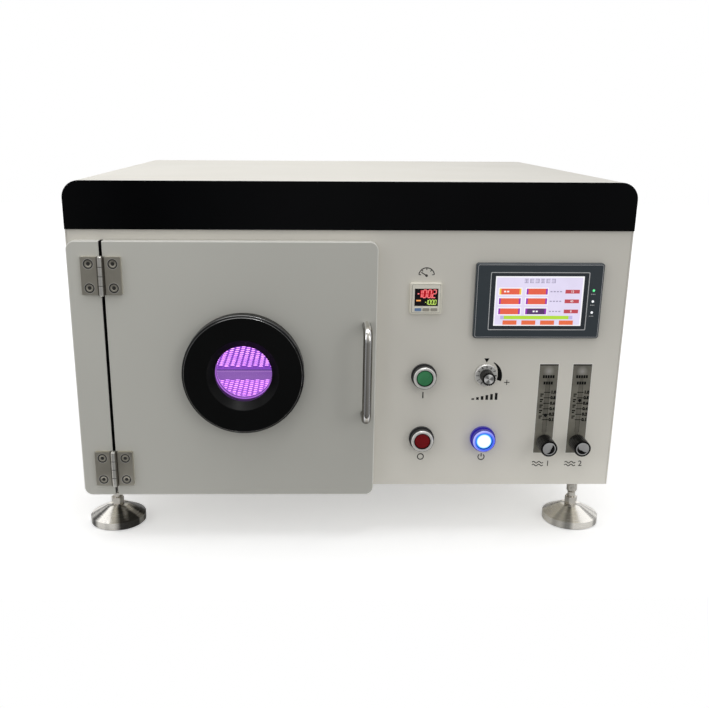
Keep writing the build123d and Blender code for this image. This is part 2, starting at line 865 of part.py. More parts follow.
def controller():
    """A closed housing with a step for terminals at the front and the back."""
    xs, ys, zs = on_pan(controller_size, controller_x, controller_depth_place)
    unit = span_box(xs, ys, zs)
    depth = controller_terminal_depth
    for y_span in ((ys[0] - 1, ys[0] + depth), (ys[1] - depth, ys[1] + 1)):
        unit -= span_box((xs[0] - 1, xs[1] + 1), y_span, (zs[1] - controller_terminal_height, zs[1] + 1))
    return unit


def pipe_y(length_span, flange_ends):
    """A vacuum tube along Y with flanges at the ends named in flange_ends."""
    z = base_z + vacuum_z
    start, end = length_span
    pipe = rod_y(vacuum_tube_diameter, vacuum_x, z, start, end)
    if "front" in flange_ends:
        pipe += rod_y(vacuum_flange_diameter, vacuum_x, z, start, start + vacuum_flange_thickness)
    if "back" in flange_ends:
        pipe += rod_y(vacuum_flange_diameter, vacuum_x, z, end - vacuum_flange_thickness, end)
    return pipe


def vacuum_valve():
    """An in-line valve block between two flanges, with its coil on top."""
    front = chamber_back_y + vacuum_stub_length + vacuum_joint_gap
    back = front + vacuum_valve_length
    z = base_z + vacuum_z
    half = vacuum_valve_width / 2
    inset = 3 * vacuum_flange_thickness
    valve = pipe_y((front, back), "front back")
    valve += span_box((vacuum_x - half, vacuum_x + half), (front + inset, back - inset), (z - half, z + half))
    middle = (front + back) / 2
    valve += rod_z(vacuum_coil_diameter, vacuum_x, middle, z + half - 1, z + half + vacuum_coil_height)
    return valve - rod_y(vacuum_valve_bore, vacuum_x, z, front - 1, back + 1)


def vacuum_pipe():
    front = chamber_back_y + vacuum_stub_length + 2 * vacuum_joint_gap + vacuum_valve_length
    back = rear_y - rear_wall - port_inner_length - vacuum_joint_gap
    pipe = pipe_y((front, back), "front back")
    return pipe - rod_y(vacuum_pipe_bore, vacuum_x, base_z + vacuum_z, front - 1, back + 1)


def vacuum_port():
    """The bulkhead port: inner flange and nut, outer collar and the bevelled clamp flange."""
    z = base_z + vacuum_z
    front = rear_y - rear_wall - port_inner_length
    back = rear_y + port_reach
    port = rod_y(vacuum_tube_diameter, vacuum_x, z, front, back)
    port += rod_y(vacuum_flange_diameter, vacuum_x, z, front, front + vacuum_flange_thickness)
    nut_back = rear_y - rear_wall
    port += plate(Pos(vacuum_x, z) * hexagon(port_nut_flats), nut_back - port_nut_thickness, nut_back)
    port += rod_y(port_collar_diameter, vacuum_x, z, rear_y, rear_y + port_collar_thickness)
    tube = vacuum_tube_diameter / 2
    rim = vacuum_flange_diameter / 2
    rim_front = back - port_rim_thickness
    bevel_front = rim_front - port_rim_bevel
    port += turned_y(
        [(0, bevel_front), (tube, bevel_front), (rim, rim_front), (rim, back), (0, back)],
        vacuum_x, z)
    return port - rod_y(vacuum_bore, vacuum_x, z, front - 1, back + 1)


def gas_inlet_fittings():
    """Bulkhead push-in fittings for the gas tubes."""
    fittings = []
    z = base_z + gas_inlet_z
    inner_end = rear_y - rear_wall - gas_fitting_inner_length
    for x in gas_inlet_x:
        fitting = rod_y(gas_fitting_tail_diameter, x, z, inner_end, rear_y + gas_fitting_reach)
        head_end = rear_y + gas_fitting_head_thickness
        fitting += plate(Pos(x, z) * hexagon(gas_fitting_flats), rear_y, head_end)
        collar_end = rear_y + gas_fitting_collar_end
        fitting += rod_y(gas_fitting_collar_diameter, x, z, head_end - 1, collar_end)
        nut_back = rear_y - rear_wall
        nut_front = nut_back - gas_fitting_nut_thickness
        fitting += plate(Pos(x, z) * hexagon(gas_fitting_flats), nut_front, nut_back)
        bore_start = rear_y + gas_fitting_reach - gas_fitting_bore_depth
        fitting -= rod_y(gas_fitting_bore, x, z, bore_start, rear_y + gas_fitting_reach + 1)
        fittings.append(fitting)
    return Compound(children=fittings)


def gas_valve_spans(depth):
    return on_pan(gas_valve_size, gas_valve_x - gas_valve_size[0] / 2, depth)


def gas_valve_ports():
    """Depth and height of each valve's ports, and how far they reach from the valve's middle."""
    reach = gas_valve_size[0] / 2 + gas_valve_port_length
    ports = []
    for depth in gas_valve_depths:
        _, ys, zs = gas_valve_spans(depth)
        ports.append(((ys[0] + ys[1]) / 2, (zs[0] + zs[1]) / 2, reach))
    return ports


def gas_solenoid_valves():
    """Small valves on the base pan: body, coil on top and a port at each side."""
    valves = []
    half_x, half_y = (side / 2 for side in gas_valve_coil_size[:2])
    for depth, (port_y, port_z, reach) in zip(gas_valve_depths, gas_valve_ports()):
        xs, ys, zs = gas_valve_spans(depth)
        valve = span_box(xs, ys, zs)
        valve += span_box(
            (gas_valve_x - half_x, gas_valve_x + half_x),
            (port_y - half_y, port_y + half_y),
            (zs[1] - 1, zs[1] + gas_valve_coil_size[2]),
        )
        port = Pos(gas_valve_x, port_y, port_z) * Rot(0, 90, 0)
        valve += port * Cylinder(gas_valve_port_diameter / 2, 2 * reach)
        valves.append(valve)
    return Compound(children=valves)


def tube_along(points, radius):
    path = FilletPolyline(*points, radius=radius)
    start = Plane(origin=points[0], z_dir=path % 0)
    return sweep(start * Circle(gas_tube_diameter / 2), path=path)


def inlet_tubes(port_y):
    """From each rear fitting forward, across and down to a flow meter's lower port."""
    tubes = []
    fitting_y = rear_y - rear_wall - gas_fitting_inner_length - gas_tube_seat_gap
    high = base_z + gas_inlet_z
    low = base_z + flow_port_low
    for inlet, column, depth in zip(gas_inlet_x, flow_columns, gas_turn_depths):
        turn_y = panel_y + depth
        points = [(inlet, fitting_y, high), (inlet, turn_y, high)]
        points += [(column, turn_y, low), (column, port_y, low)]
        tubes.append(tube_along(points, gas_tube_bend))
    return tubes


def meter_tubes(port_y):
    """From each flow meter's upper port to a valve: the right one straight over, the left one round it."""
    (near_y, near_z, reach), (far_y, far_z, _) = gas_valve_ports()
    valve_end = gas_valve_x + reach + gas_tube_seat_gap
    drop_x = valve_end + gas_drop_reach
    high = base_z + flow_port_high
    left, right = flow_columns
    over = [(right, port_y, high), (right, near_y, high), (drop_x, near_y, high)]
    over += [(drop_x, near_y, near_z), (valve_end, near_y, near_z)]
    side_x = drop_x - gas_crossing_offset
    bend = gas_crossing_offset
    crossing_y = panel_y + gas_crossing_depth
    around = [(left, port_y, high), (left, crossing_y, high), (side_x, crossing_y, high)]
    around += [(side_x, far_y - bend, high), (drop_x, far_y, high - bend)]
    around += [(drop_x, far_y, far_z), (valve_end, far_y, far_z)]
    return [tube_along(points, gas_tube_tight_bend) for points in (over, around)]


def chamber_tubes():
    """From each valve back under the chamber, up behind it and into a nipple."""
    tubes = []
    high = base_z + gas_nipple_z
    nipple_end = chamber_back_y + gas_nipple_length + gas_tube_seat_gap
    routes = zip(gas_valve_ports(), gas_nipple_x, gas_rise_offsets, gas_rise_reaches)
    for (port_y, port_z, reach), nipple_x, offset, rise in routes:
        start = gas_valve_x - reach - gas_tube_seat_gap
        x = gas_valve_x - gas_valve_size[0] / 2 - offset
        rise_y = nipple_end + rise
        points = [(start, port_y, port_z), (x, port_y, port_z), (x, rise_y, port_z), (x, rise_y, high)]
        points += [(nipple_x, rise_y, high), (nipple_x, nipple_end, high)]
        tubes.append(tube_along(points, gas_tube_tight_bend))
    return tubes


def gas_tubes():
    port_y = panel_y + flow_body_depth - flow_body_proud + flow_port_length + gas_tube_seat_gap
    return Compound(children=inlet_tubes(port_y) + meter_tubes(port_y) + chamber_tubes())


def mains_inlet():
    """An appliance inlet with its flange outside the rear panel and three blades in its recess."""
    z = base_z + inlet_z
    flange_back = rear_y + inlet_flange_thickness
    flange = Pos(inlet_x, z) * RectangleRounded(*inlet_flange, inlet_flange_radius)
    piece = plate(flange, rear_y, flange_back)
    piece += plate(Pos(inlet_x, z) * Rectangle(*inlet_body), flange_back - inlet_body_length, flange_back)
    recess = Pos(inlet_x, z) * Rectangle(*inlet_recess)
    corners = [(inlet_x + side * inlet_recess[0], z + inlet_recess[1]) for side in (-1, 1)]
    chosen = [min(recess.vertices(), key=lambda v: (v.X - a) ** 2 + (v.Y - b) ** 2) for a, b in corners]
    recess = chamfer(chosen, inlet_recess_chamfer)
    floor = flange_back - inlet_recess_depth
    piece -= plate(recess, floor, flange_back + 1)
    half_w, half_h = (side / 2 for side in inlet_blade)
    for number in (-1, 0, 1):
        x = inlet_x + number * inlet_blade_pitch
        blade_z = z + (inlet_blade_step / 2 if number == 0 else -inlet_blade_step / 2)
        piece += span_box((x - half_w, x + half_w), (floor - 1, floor + inlet_blade_length),
                          (blade_z - half_h, blade_z + half_h))
    return piece


def fan_front_y():
    return rear_y - rear_wall - fan_thickness


def fan_housing():
    """A square frame with a round duct, and the motor carried by four struts at its inner face."""
    z = base_z + fan_z
    front = fan_front_y()
    back = front + fan_thickness
    outline = RectangleRounded(fan_size, fan_size, fan_corner_radius) - Circle(fan_bore / 2)
    frame = plate(Pos(fan_x, z) * outline, front, back)
    half = fan_strut_width / 2
    motor = rod_y(fan_motor_diameter, fan_x, z, front, front + fan_motor_length)
    for angle in (45, 135):
        bar = Pos(fan_x, front + fan_motor_length / 2, z) * Rot(0, angle, 0)
        motor += bar * Box(fan_bore + 2, fan_motor_length, 2 * half)
    pin_end = front + fan_motor_length + fan_rotor_gap + fan_hub_length - fan_hub_cap - fan_rotor_gap
    motor += rod_y(fan_pin_diameter, fan_x, z, front, pin_end)
    return frame + motor


def fan_rotor():
    """A hub with twisted blades on the motor pin."""
    front = fan_front_y() + fan_motor_length + fan_rotor_gap
    back = front + fan_hub_length
    middle = (front + back) / 2
    sections = []
    root = (fan_hub_diameter / 2 - 1, fan_root_twist)
    tip = (fan_rotor_diameter / 2 + 1, fan_tip_twist)
    for radius, twist in (root, tip):
        chord = fan_blade_axial / cos(radians(twist))
        place = Plane(origin=(0, middle, radius), x_dir=(0, 1, 0), z_dir=(0, 0, 1))
        sections.append(place * Rot(0, 0, twist) * Rectangle(chord, fan_blade_thickness))
    blade = loft(sections) & rod_y(fan_rotor_diameter, 0, 0, front, back)
    rotor = rod_y(fan_hub_diameter, 0, 0, front, back)
    for number in range(fan_blade_count):
        rotor += Rot(0, 360 * number / fan_blade_count, 0) * blade
    rotor -= rod_y(fan_pin_diameter + 2 * fan_pin_gap, 0, 0, front - 1, back - fan_hub_cap)
    return Pos(fan_x, 0, base_z + fan_z) * rotor


def fan_guard():
    """Wire rings on two crossed bars."""
    z = base_z + fan_z
    wire = fan_guard_wire
    front = rear_y
    guard = None
    for diameter in fan_guard_rings:
        ring = Circle((diameter + wire) / 2) - Circle((diameter - wire) / 2)
        solid = plate(ring, front + wire, front + 2 * wire)
        guard = solid if guard is None else guard + solid
    for angle in (45, 135):
        bar = Pos(0, front + wire / 2, 0) * Rot(0, angle, 0)
        guard += bar * Box(fan_guard_span, wire, 2 * wire)
    return Pos(fan_x, 0, z) * guard


def touch_screen_body():
    """The bezel on the panel and the housing behind it, with a recess for the glass."""
    z = base_z + screen_z
    front = panel_y - screen_bezel_proud
    bezel = Pos(screen_x, z) * RectangleRounded(*screen_bezel, screen_bezel_radius)
    bezel = plate(bezel, front, panel_y)
    bezel = chamfer(bezel.faces().sort_by(Axis.Y)[0].edges(), screen_bezel_chamfer)
    body = bezel + plate(Pos(screen_x, z) * Rectangle(*screen_rear), panel_y - 1, panel_y + screen_rear_depth)
    recess = Pos(screen_x, z) * Rectangle(*[side + 2 * screen_face_gap for side in screen_face])
    return body - plate(recess, front - 1, front + screen_face_recess + 1)


def touch_screen_glass():
    front = panel_y - screen_bezel_proud + screen_face_recess / 4
    back = panel_y - screen_bezel_proud + screen_face_recess + 1
    return plate(Pos(screen_x, base_z + screen_z) * Rectangle(*screen_face), front, back)


def pressure_display_bezel():
    outline = RectangleRounded(gauge_bezel, gauge_bezel, gauge_bezel_radius)
    opening = gauge_body + panel_fit
    outline -= Rectangle(opening, opening)
    frame = plate(Pos(gauge_x, base_z + gauge_z) * outline, panel_y - gauge_bezel_proud, panel_y)
    outer = frame.faces().sort_by(Axis.Y)[0].outer_wire().edges()
    return chamfer(outer, gauge_bezel_chamfer)


def pressure_display_body():
    """A square digital gauge: sunk screen, three keys below it and the pressure port behind."""
    x = gauge_x
    z = base_z + gauge_z
    front = panel_y - gauge_body_proud
    back = panel_y + gauge_body_depth
    body = plate(Pos(x, z) * RectangleRounded(gauge_body, gauge_body, gauge_corner_radius), front, back)
    screen = Pos(x, z + gauge_screen_rise) * Rectangle(*gauge_screen)
    body -= plate(screen, front - 1, front + gauge_screen_recess)
    for number in (-1, 0, 1):
        key = Pos(x + number * gauge_key_pitch, z - gauge_key_drop)
        key *= RectangleRounded(*gauge_key, gauge_corner_radius)
        body += plate(key, front - gauge_key_height, front + 1)
    return body + rod_y(gauge_port_diameter, x, z, back - 1, back + gauge_port_length)


def button_places():
    """Start, stop and power, each as X and Z."""
    columns = button_columns
    rows = [base_z + height for height in button_rows]
    return [(columns[0], rows[0]), (columns[0], rows[1]), (columns[1], rows[1])]


def button_bezels():
    """Round bezels with the barrel behind the panel and its nut."""
    bezels = []
    front = panel_y - button_bezel_proud
    rim = button_bezel_diameter / 2
    base = button_base_diameter / 2
    well = button_cap_diameter / 2 + button_cap_gap
    barrel = button_barrel_diameter / 2
    bore = button_barrel_bore / 2
    floor = front + button_cap_recess + button_cap_thickness + button_travel + button_cap_gap
    end = panel_y + front_wall + button_barrel_length
    profile = [
        (well, front), (rim - button_bezel_chamfer, front), (rim, front + button_bezel_chamfer),
        (rim, panel_y - button_base_height), (base, panel_y - button_base_height), (base, panel_y),
        (barrel, panel_y), (barrel, end), (bore, end), (bore, floor), (well, floor),
    ]
    nut_front = panel_y + front_wall
    nut_back = nut_front + button_nut_thickness
    for x, z in button_places():
        nut = nut_y(button_nut_flats, button_barrel_diameter - 1, x, z, nut_front, nut_back)
        bezels.append(turned_y(profile, x, z) + nut)
    return Compound(children=bezels)


def button_cap(x, z):
    """A flat cap with a bevelled edge and the plunger behind it."""
    front = panel_y - button_bezel_proud + button_cap_recess
    back = front + button_cap_thickness
    rim = button_cap_diameter / 2
    stem = button_stem_diameter / 2
    end = button_block_front() - button_travel - button_block_gap
    edge = button_cap_edge
    profile = [(0, front), (rim - edge, front), (rim, front + edge), (rim, back)]
    profile += [(stem, back), (stem, end), (0, end)]
    return turned_y(profile, x, z)


def button_block_front():
    return panel_y + front_wall + button_barrel_length


def button_contact_blocks():
    """Contact blocks latched to the end of each barrel."""
    blocks = []
    wide, long, tall = button_block
    slot_wide, slot_long, slot_tall = button_block_slot
    front = button_block_front()
    back = front + long
    for x, z in button_places():
        block = plate(Pos(x, z) * Rectangle(wide, tall), front, back)
        for side in (-1, 1):
            slot_x = x + side * wide / 2
            block -= span_box(
                (slot_x - slot_wide, slot_x + slot_wide),
                (back - slot_long, back + 1),
                (z - slot_tall / 2, z + slot_tall / 2),
            )
        blocks.append(block)
    return Compound(children=blocks)


def power_knob():
    """A fluted grip on a flat numbered skirt, with a blind bore for the shaft."""
    x = knob_column
    z = base_z + knob_row
    skirt_back = panel_y - knob_skirt_gap
    skirt_front = skirt_back - knob_skirt_thickness
    rim = knob_skirt_diameter / 2
    front = panel_y - knob_skirt_gap - knob_height
    edge = knob_skirt_edge
    profile = [(0, skirt_front), (rim - edge, skirt_front), (rim, skirt_front + edge)]
    profile += [(rim, skirt_back), (0, skirt_back)]
    knob = turned_y(profile, x, z)
    grip = (x, z, front, skirt_front + edge)
    knob += fluted_rod(knob_diameter, knob_flute_count, knob_flute_depth, *grip)
    bushing = pot_bushing_diameter + panel_fit
    knob -= rod_y(bushing, x, z, skirt_back - 1, skirt_back + 1)
    bore_end = skirt_back - knob_bore_depth
    return knob - rod_y(pot_shaft_diameter + 2 * pot_shaft_press, x, z, bore_end, skirt_back + 1)


def power_potentiometer():
    """The body behind the panel and its threaded bushing through it."""
    x = knob_column
    z = base_z + knob_row
    back = panel_y + front_wall
    body = rod_y(pot_diameter, x, z, back, back + pot_depth)
    body += rod_y(pot_bushing_diameter, x, z, panel_y - pot_bushing_reach, back + 1)
    bore = pot_shaft_diameter + 2 * pot_running
    return body - rod_y(bore, x, z, panel_y - 2, back + pot_depth - pot_back_wall)


def potentiometer_shaft():
    x = knob_column
    z = base_z + knob_row
    end = panel_y + front_wall + pot_depth - pot_back_wall - pot_shaft_end_gap
    front = panel_y - knob_skirt_gap - knob_bore_depth + pot_shaft_end_gap
    return rod_y(pot_shaft_diameter, x, z, front, end)


def flow_meter(x):
    """A clear block flush in the panel: float tube, valve gland in front and two ports behind."""
    z = base_z + flow_z
    front = panel_y - flow_body_proud
    back = front + flow_body_depth
    block = plate(Pos(x, z) * Rectangle(*flow_body), front, back)
    block = chamfer(block.faces().sort_by(Axis.Y)[0].edges(), flow_edge_chamfer)
    knob_z = base_z + flow_knob_z
    block += rod_y(flow_gland_diameter, x, knob_z, front - flow_gland_reach, front + 1)
    for height in (flow_port_low, flow_port_high):
        block += rod_y(flow_port_diameter, x, base_z + height, back - 1, back + flow_port_length)
    tube_y = panel_y + flow_tube_depth
    block -= rod_z(flow_tube_bore, x, tube_y, base_z + flow_tube_low, base_z + flow_tube_high)
    stem = flow_stem_diameter + 2 * flow_stem_running
    stem_end = front + flow_stem_depth + flow_stem_end_gap
    return block - rod_y(stem, x, knob_z, front - flow_gland_reach - 1, stem_end)


def flow_float(x, height):
    return Pos(x, panel_y + flow_tube_depth, base_z + height) * Sphere(flow_float_diameter / 2)


def flow_knob(x):
    """A fluted knob with a raised cap and its valve stem."""
    z = base_z + flow_knob_z
    back = panel_y - flow_knob_back
    front = panel_y - flow_knob_front
    cap_back = front + flow_knob_cap_height
    grip = (x, z, cap_back, back)
    knob = fluted_rod(flow_knob_diameter, flow_knob_flute_count, flow_knob_flute_depth, *grip)
    knob += rod_y(flow_knob_cap_diameter, x, z, front, cap_back + 1)
    stem_end = panel_y - flow_body_proud + flow_stem_depth
    return knob + rod_y(flow_stem_diameter, x, z, back - 1, stem_end)


def all_pieces():
    frame_bore = hinge_pin_diameter + 2 * hinge_pin_press
    door_bore = hinge_pin_diameter + 2 * hinge_pin_running
    pieces = {
        "cabinet_cover": cabinet_cover(),
        "base_pan": base_pan(),
        "front_panel": front_panel(),
        "fascia_band": fascia_band(),
        "rear_panel": rear_panel(),
        "foot_lock_nuts": foot_lock_nuts(),
        "hinge_strip": hinge_strip(),
        "hinge_frame_leaves": hinge_leaves(-1, 1, frame_bore),
        "hinge_pins": hinge_pins(),
        "hinge_door_leaves": hinge_leaves(1, 0, door_bore),
        "door_plate": door_plate(),
        "window_ring": window_ring(),
        "window_glass": window_glass(),
        "window_gasket": window_gasket(),
        "door_handle": door_handle(),
        "chamber_body": chamber_body(),
        "door_seal": door_seal(),
        "tray_rails": tray_rails(),
        "tray_upper": tray(tray_upper_z),
        "tray_lower": tray(tray_lower_z),
        "rf_feedthrough": rf_feedthrough(),
        "rf_generator": rf_generator(),
        "power_supply": power_supply(),
        "controller": controller(),
        "vacuum_valve": vacuum_valve(),
        "vacuum_pipe": vacuum_pipe(),
        "vacuum_port": vacuum_port(),
        "gas_inlet_fittings": gas_inlet_fittings(),
        "gas_solenoid_valves": gas_solenoid_valves(),
        "gas_tubes": gas_tubes(),
        "mains_inlet": mains_inlet(),
        "fan_housing": fan_housing(),
        "fan_rotor": fan_rotor(),
        "fan_guard": fan_guard(),
        "touch_screen_body": touch_screen_body(),
        "touch_screen_glass": touch_screen_glass(),
        "pressure_display_bezel": pressure_display_bezel(),
        "pressure_display_body": pressure_display_body(),
        "button_bezels": button_bezels(),
        "button_contact_blocks": button_contact_blocks(),
        "power_knob": power_knob(),
        "power_potentiometer": power_potentiometer(),
        "potentiometer_shaft": potentiometer_shaft(),
    }
    for name, place in zip(("start", "stop", "power"), button_places()):
        pieces[name + "_button_cap"] = button_cap(*place)
    for name, x, height in zip(("left", "right"), flow_columns, flow_float_heights):
        pieces["flow_meter_" + name] = flow_meter(x)
        pieces["flow_float_" + name] = flow_float(x, height)
        pieces["flow_knob_" + name] = flow_knob(x)
    names = ("front_left", "front_right", "rear_left", "rear_right")
    for name, (x, y) in zip(names, foot_places()):
        pieces["foot_pad_" + name] = foot_pad(x, y)
        pieces["foot_stem_" + name] = foot_stem(x, y)
    return pieces


os.makedirs("parts", exist_ok=True)
for node, shape in all_pieces().items():
    export_step(shape, "parts/" + node + ".step")
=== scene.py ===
from math import cos, hypot, pi, radians, sin

import bmesh
import bpy
from mathutils import Matrix, Vector


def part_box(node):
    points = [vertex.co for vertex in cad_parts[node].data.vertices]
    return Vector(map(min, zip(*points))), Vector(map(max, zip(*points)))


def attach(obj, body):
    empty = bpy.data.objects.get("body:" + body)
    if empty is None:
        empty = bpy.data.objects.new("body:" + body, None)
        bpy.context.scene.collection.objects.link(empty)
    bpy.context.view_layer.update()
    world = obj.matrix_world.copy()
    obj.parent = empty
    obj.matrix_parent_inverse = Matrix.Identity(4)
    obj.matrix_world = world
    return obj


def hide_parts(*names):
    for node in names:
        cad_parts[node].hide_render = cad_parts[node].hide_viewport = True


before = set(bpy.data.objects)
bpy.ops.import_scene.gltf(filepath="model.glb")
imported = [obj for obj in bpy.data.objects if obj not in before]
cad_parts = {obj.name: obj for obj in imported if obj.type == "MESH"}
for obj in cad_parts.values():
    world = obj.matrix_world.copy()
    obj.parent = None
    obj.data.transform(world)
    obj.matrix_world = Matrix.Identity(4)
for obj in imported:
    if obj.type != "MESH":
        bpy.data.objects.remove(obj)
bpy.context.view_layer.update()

# Lengths are in millimetres, but for the camera, the lamps and the depth of bumps, which are in metres
MM = 0.001

# Camera, worked out from the cabinet's edges
CAMERA_PLACE = (-0.0419, -1.1520, 0.4644)
CAMERA_YAW = -0.95
CAMERA_PITCH = -17.01
CAMERA_ROLL = 0.33
SENSOR = 36.0
IMAGE_WIDTH = 709.0
IMAGE_HEIGHT = 708.0
FOCAL_PIXELS = 865.8
CENTRE_PIXELS = (324.5, 386.1)

# Each lamp's place, target, size and power
LAMPS = {
    "ceiling_lamp": ((-0.3, 0.1, 2.3), (0, 0, 0.3), (2.4, 1.8), 15),
    "strip_lamp": ((0.45, -0.72, 2.2), (0, -0.2, 0.3), (1.6, 0.12), 5),
    "left_lamp": ((-2.2, -1.4, 1.3), (0, 0, 0.25), (1.2, 1.6), 6),
    "right_lamp": ((1.6, -1.9, 1.0), (0, 0, 0.25), (0.8, 1.4), 5),
}

# Sizes of the details that only the looks need
INK = 0.10
SCREEN_SIZE = (95.0, 54.0)
SCREEN_SHIFT = (0.1, 0.2)
HOLE_PITCH = 8.7
HOLE_COLUMN = 6.5
HOLE_RADIUS = 2.45
TRAY_MARGIN = 5.0
TRAY_HALF = 94.0
TRAY_SHEET = 1.5
TRAY_LIP = 8.0
SLIT_EDGE = 0.1
SLIT_DEPTH = 0.9
PLATE_CORNER = 9.0
PLATE_LINE = 0.9
CHAMBER_WALL = 5.0
CHAMBER_FLANGE = 2.0
LEAF_THICKNESS = 4.0
LEAF_HALF = 20.0
HINGE_SCREW_RADIUS = 4.6
HINGE_SCREW_SPACING = 25.5
THREAD_START = 38.5
THREAD_PITCH = 1.75
THREAD_TURNS = 15
THREAD_RADIUS = 6.0
THREAD_HEIGHT = 0.22
FAN_SCREW_PITCH = 35.75
CORNERS = [end + "_" + side for end in ("front", "rear") for side in ("left", "right")]


def low(node):
    return Vector(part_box(node)[0]) / MM


def high(node):
    return Vector(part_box(node)[1]) / MM


def middle(node):
    return (low(node) + high(node)) / 2


PANEL_Y = low("front_panel").y
REAR_Y = high("cabinet_cover").y
DOOR_Y = low("door_plate").y
BASE_Z = low("cabinet_cover").z


# Camera and studio

def make_camera():
    camera = bpy.data.objects.new("camera", bpy.data.cameras.new("camera"))
    bpy.context.collection.objects.link(camera)
    yaw, pitch, roll = (radians(angle) for angle in (CAMERA_YAW, CAMERA_PITCH, CAMERA_ROLL))
    turn = Matrix.Rotation(yaw, 3, "Z") @ Matrix.Rotation(pi / 2 + pitch, 3, "X")
    turn = turn @ Matrix.Rotation(roll, 3, "Z")
    camera.matrix_world = Matrix.Translation(CAMERA_PLACE) @ turn.to_4x4()
    lens = camera.data
    lens.sensor_width = SENSOR
    lens.lens = FOCAL_PIXELS / IMAGE_WIDTH * SENSOR
    lens.shift_x = (IMAGE_WIDTH / 2 - CENTRE_PIXELS[0]) / IMAGE_WIDTH
    lens.shift_y = (CENTRE_PIXELS[1] - IMAGE_HEIGHT / 2) / IMAGE_WIDTH
    lens.clip_start = 0.01
    bpy.context.scene.camera = camera


def make_lamps():
    for name, (place, target, size, power) in LAMPS.items():
        lamp = bpy.data.lights.new(name, "AREA")
        lamp.shape = "RECTANGLE"
        lamp.size, lamp.size_y = size
        lamp.energy = power
        holder = bpy.data.objects.new(name, lamp)
        bpy.context.collection.objects.link(holder)
        aim = (Vector(target) - Vector(place)).to_track_quat("-Z", "Y")
        holder.matrix_world = Matrix.Translation(place) @ aim.to_matrix().to_4x4()


def make_world():
    """White behind the object; for light and gloss a room that is bright above and dim in front."""
    world = bpy.data.worlds.new("studio")
    bpy.context.scene.world = world
    world.use_nodes = True
    world.node_tree.nodes.clear()
    nodes = Nodes(world.node_tree, "Generated", 1.0)
    light = nodes.levels(nodes.z, (0.26, 0.34, 0.50, 0.58))
    upper = nodes.levels(nodes.z, (0.11, 0.24, 0.80, 1.0))
    curtain = nodes.noise(3.2, 1.0, (1, 1, 0.12), (0.4, 0, 0)).spread(0.25, 1.0)
    mirror = nodes.choose(nodes.y.spread(0, 1, -0.2, 0.3), upper * curtain, 1.0)
    level = nodes.choose(nodes.ray("Glossy"), light, mirror)
    for kind in ("Camera", "Transmission"):
        level = nodes.choose(nodes.ray(kind), level, 1.0)
    room = nodes.add("ShaderNodeBackground")
    room.inputs["Color"].default_value = (1, 1, 1, 1)
    output = nodes.add("ShaderNodeOutputWorld")
    nodes.link(level, room.inputs["Strength"])
    nodes.link(room.outputs[0], output.inputs[0])


def make_floor():
    """A pale table top that reads as white where nothing shades it, lit a little more far away."""
    mesh = bpy.data.meshes.new("floor")
    corners = [(-3, -0.37, 0), (3, -0.37, 0), (3, 4, 0), (-3, 4, 0)]
    mesh.from_pydata(corners, [], [(0, 1, 2, 3)])
    floor = bpy.data.objects.new("floor", mesh)
    bpy.context.collection.objects.link(floor)
    floor.location.z = -0.0005
    top = Finish("floor", (0.86, 0.86, 0.86), 0.9, Specular_IOR_Level=0.1, Emission_Color=(1, 1, 1, 1))
    top.into(top.ray("Camera") * top.y.spread(0.42, 0.62, 500, 1600), "Emission Strength")
    mesh.materials.append(top.material)


# Shader nodes

class Value:
    """A number that shader nodes work out; it takes sums, products and comparisons."""

    def __init__(self, nodes, socket):
        self.nodes = nodes
        self.socket = socket

    def math(self, operation, *others):
        return self.nodes.math(operation, self, *others)

    def __add__(self, other):
        return self.math("ADD", other)

    def __sub__(self, other):
        return self.math("SUBTRACT", other)

    def __mul__(self, other):
        return self.math("MULTIPLY", other)

    def __gt__(self, other):
        return self.math("GREATER_THAN", other)

    def __lt__(self, other):
        return self.math("LESS_THAN", other)

    def __abs__(self):
        return self.math("ABSOLUTE")

    def sine(self):
        return self.math("SINE")

    def within(self, start, end):
        """One inside the span, nought outside it."""
        return (self > start) * (self < end)

    def spread(self, low_value, high_value, start=0.3, end=0.7):
        """Map the span from start to end onto a range; the usual span is where noise mostly lies."""
        node = self.nodes.add("ShaderNodeMapRange")
        for socket, value in (("From Min", start), ("From Max", end), ("To Min", low_value), ("To Max", high_value)):
            node.inputs[socket].default_value = value
        self.nodes.link(self, node.inputs["Value"])
        return Value(self.nodes, node.outputs[0])


def length(across, up):
    return (across * across + up * up).math("SQRT")


def shade(colour, share):
    return tuple(min(c * share, 1) for c in colour)


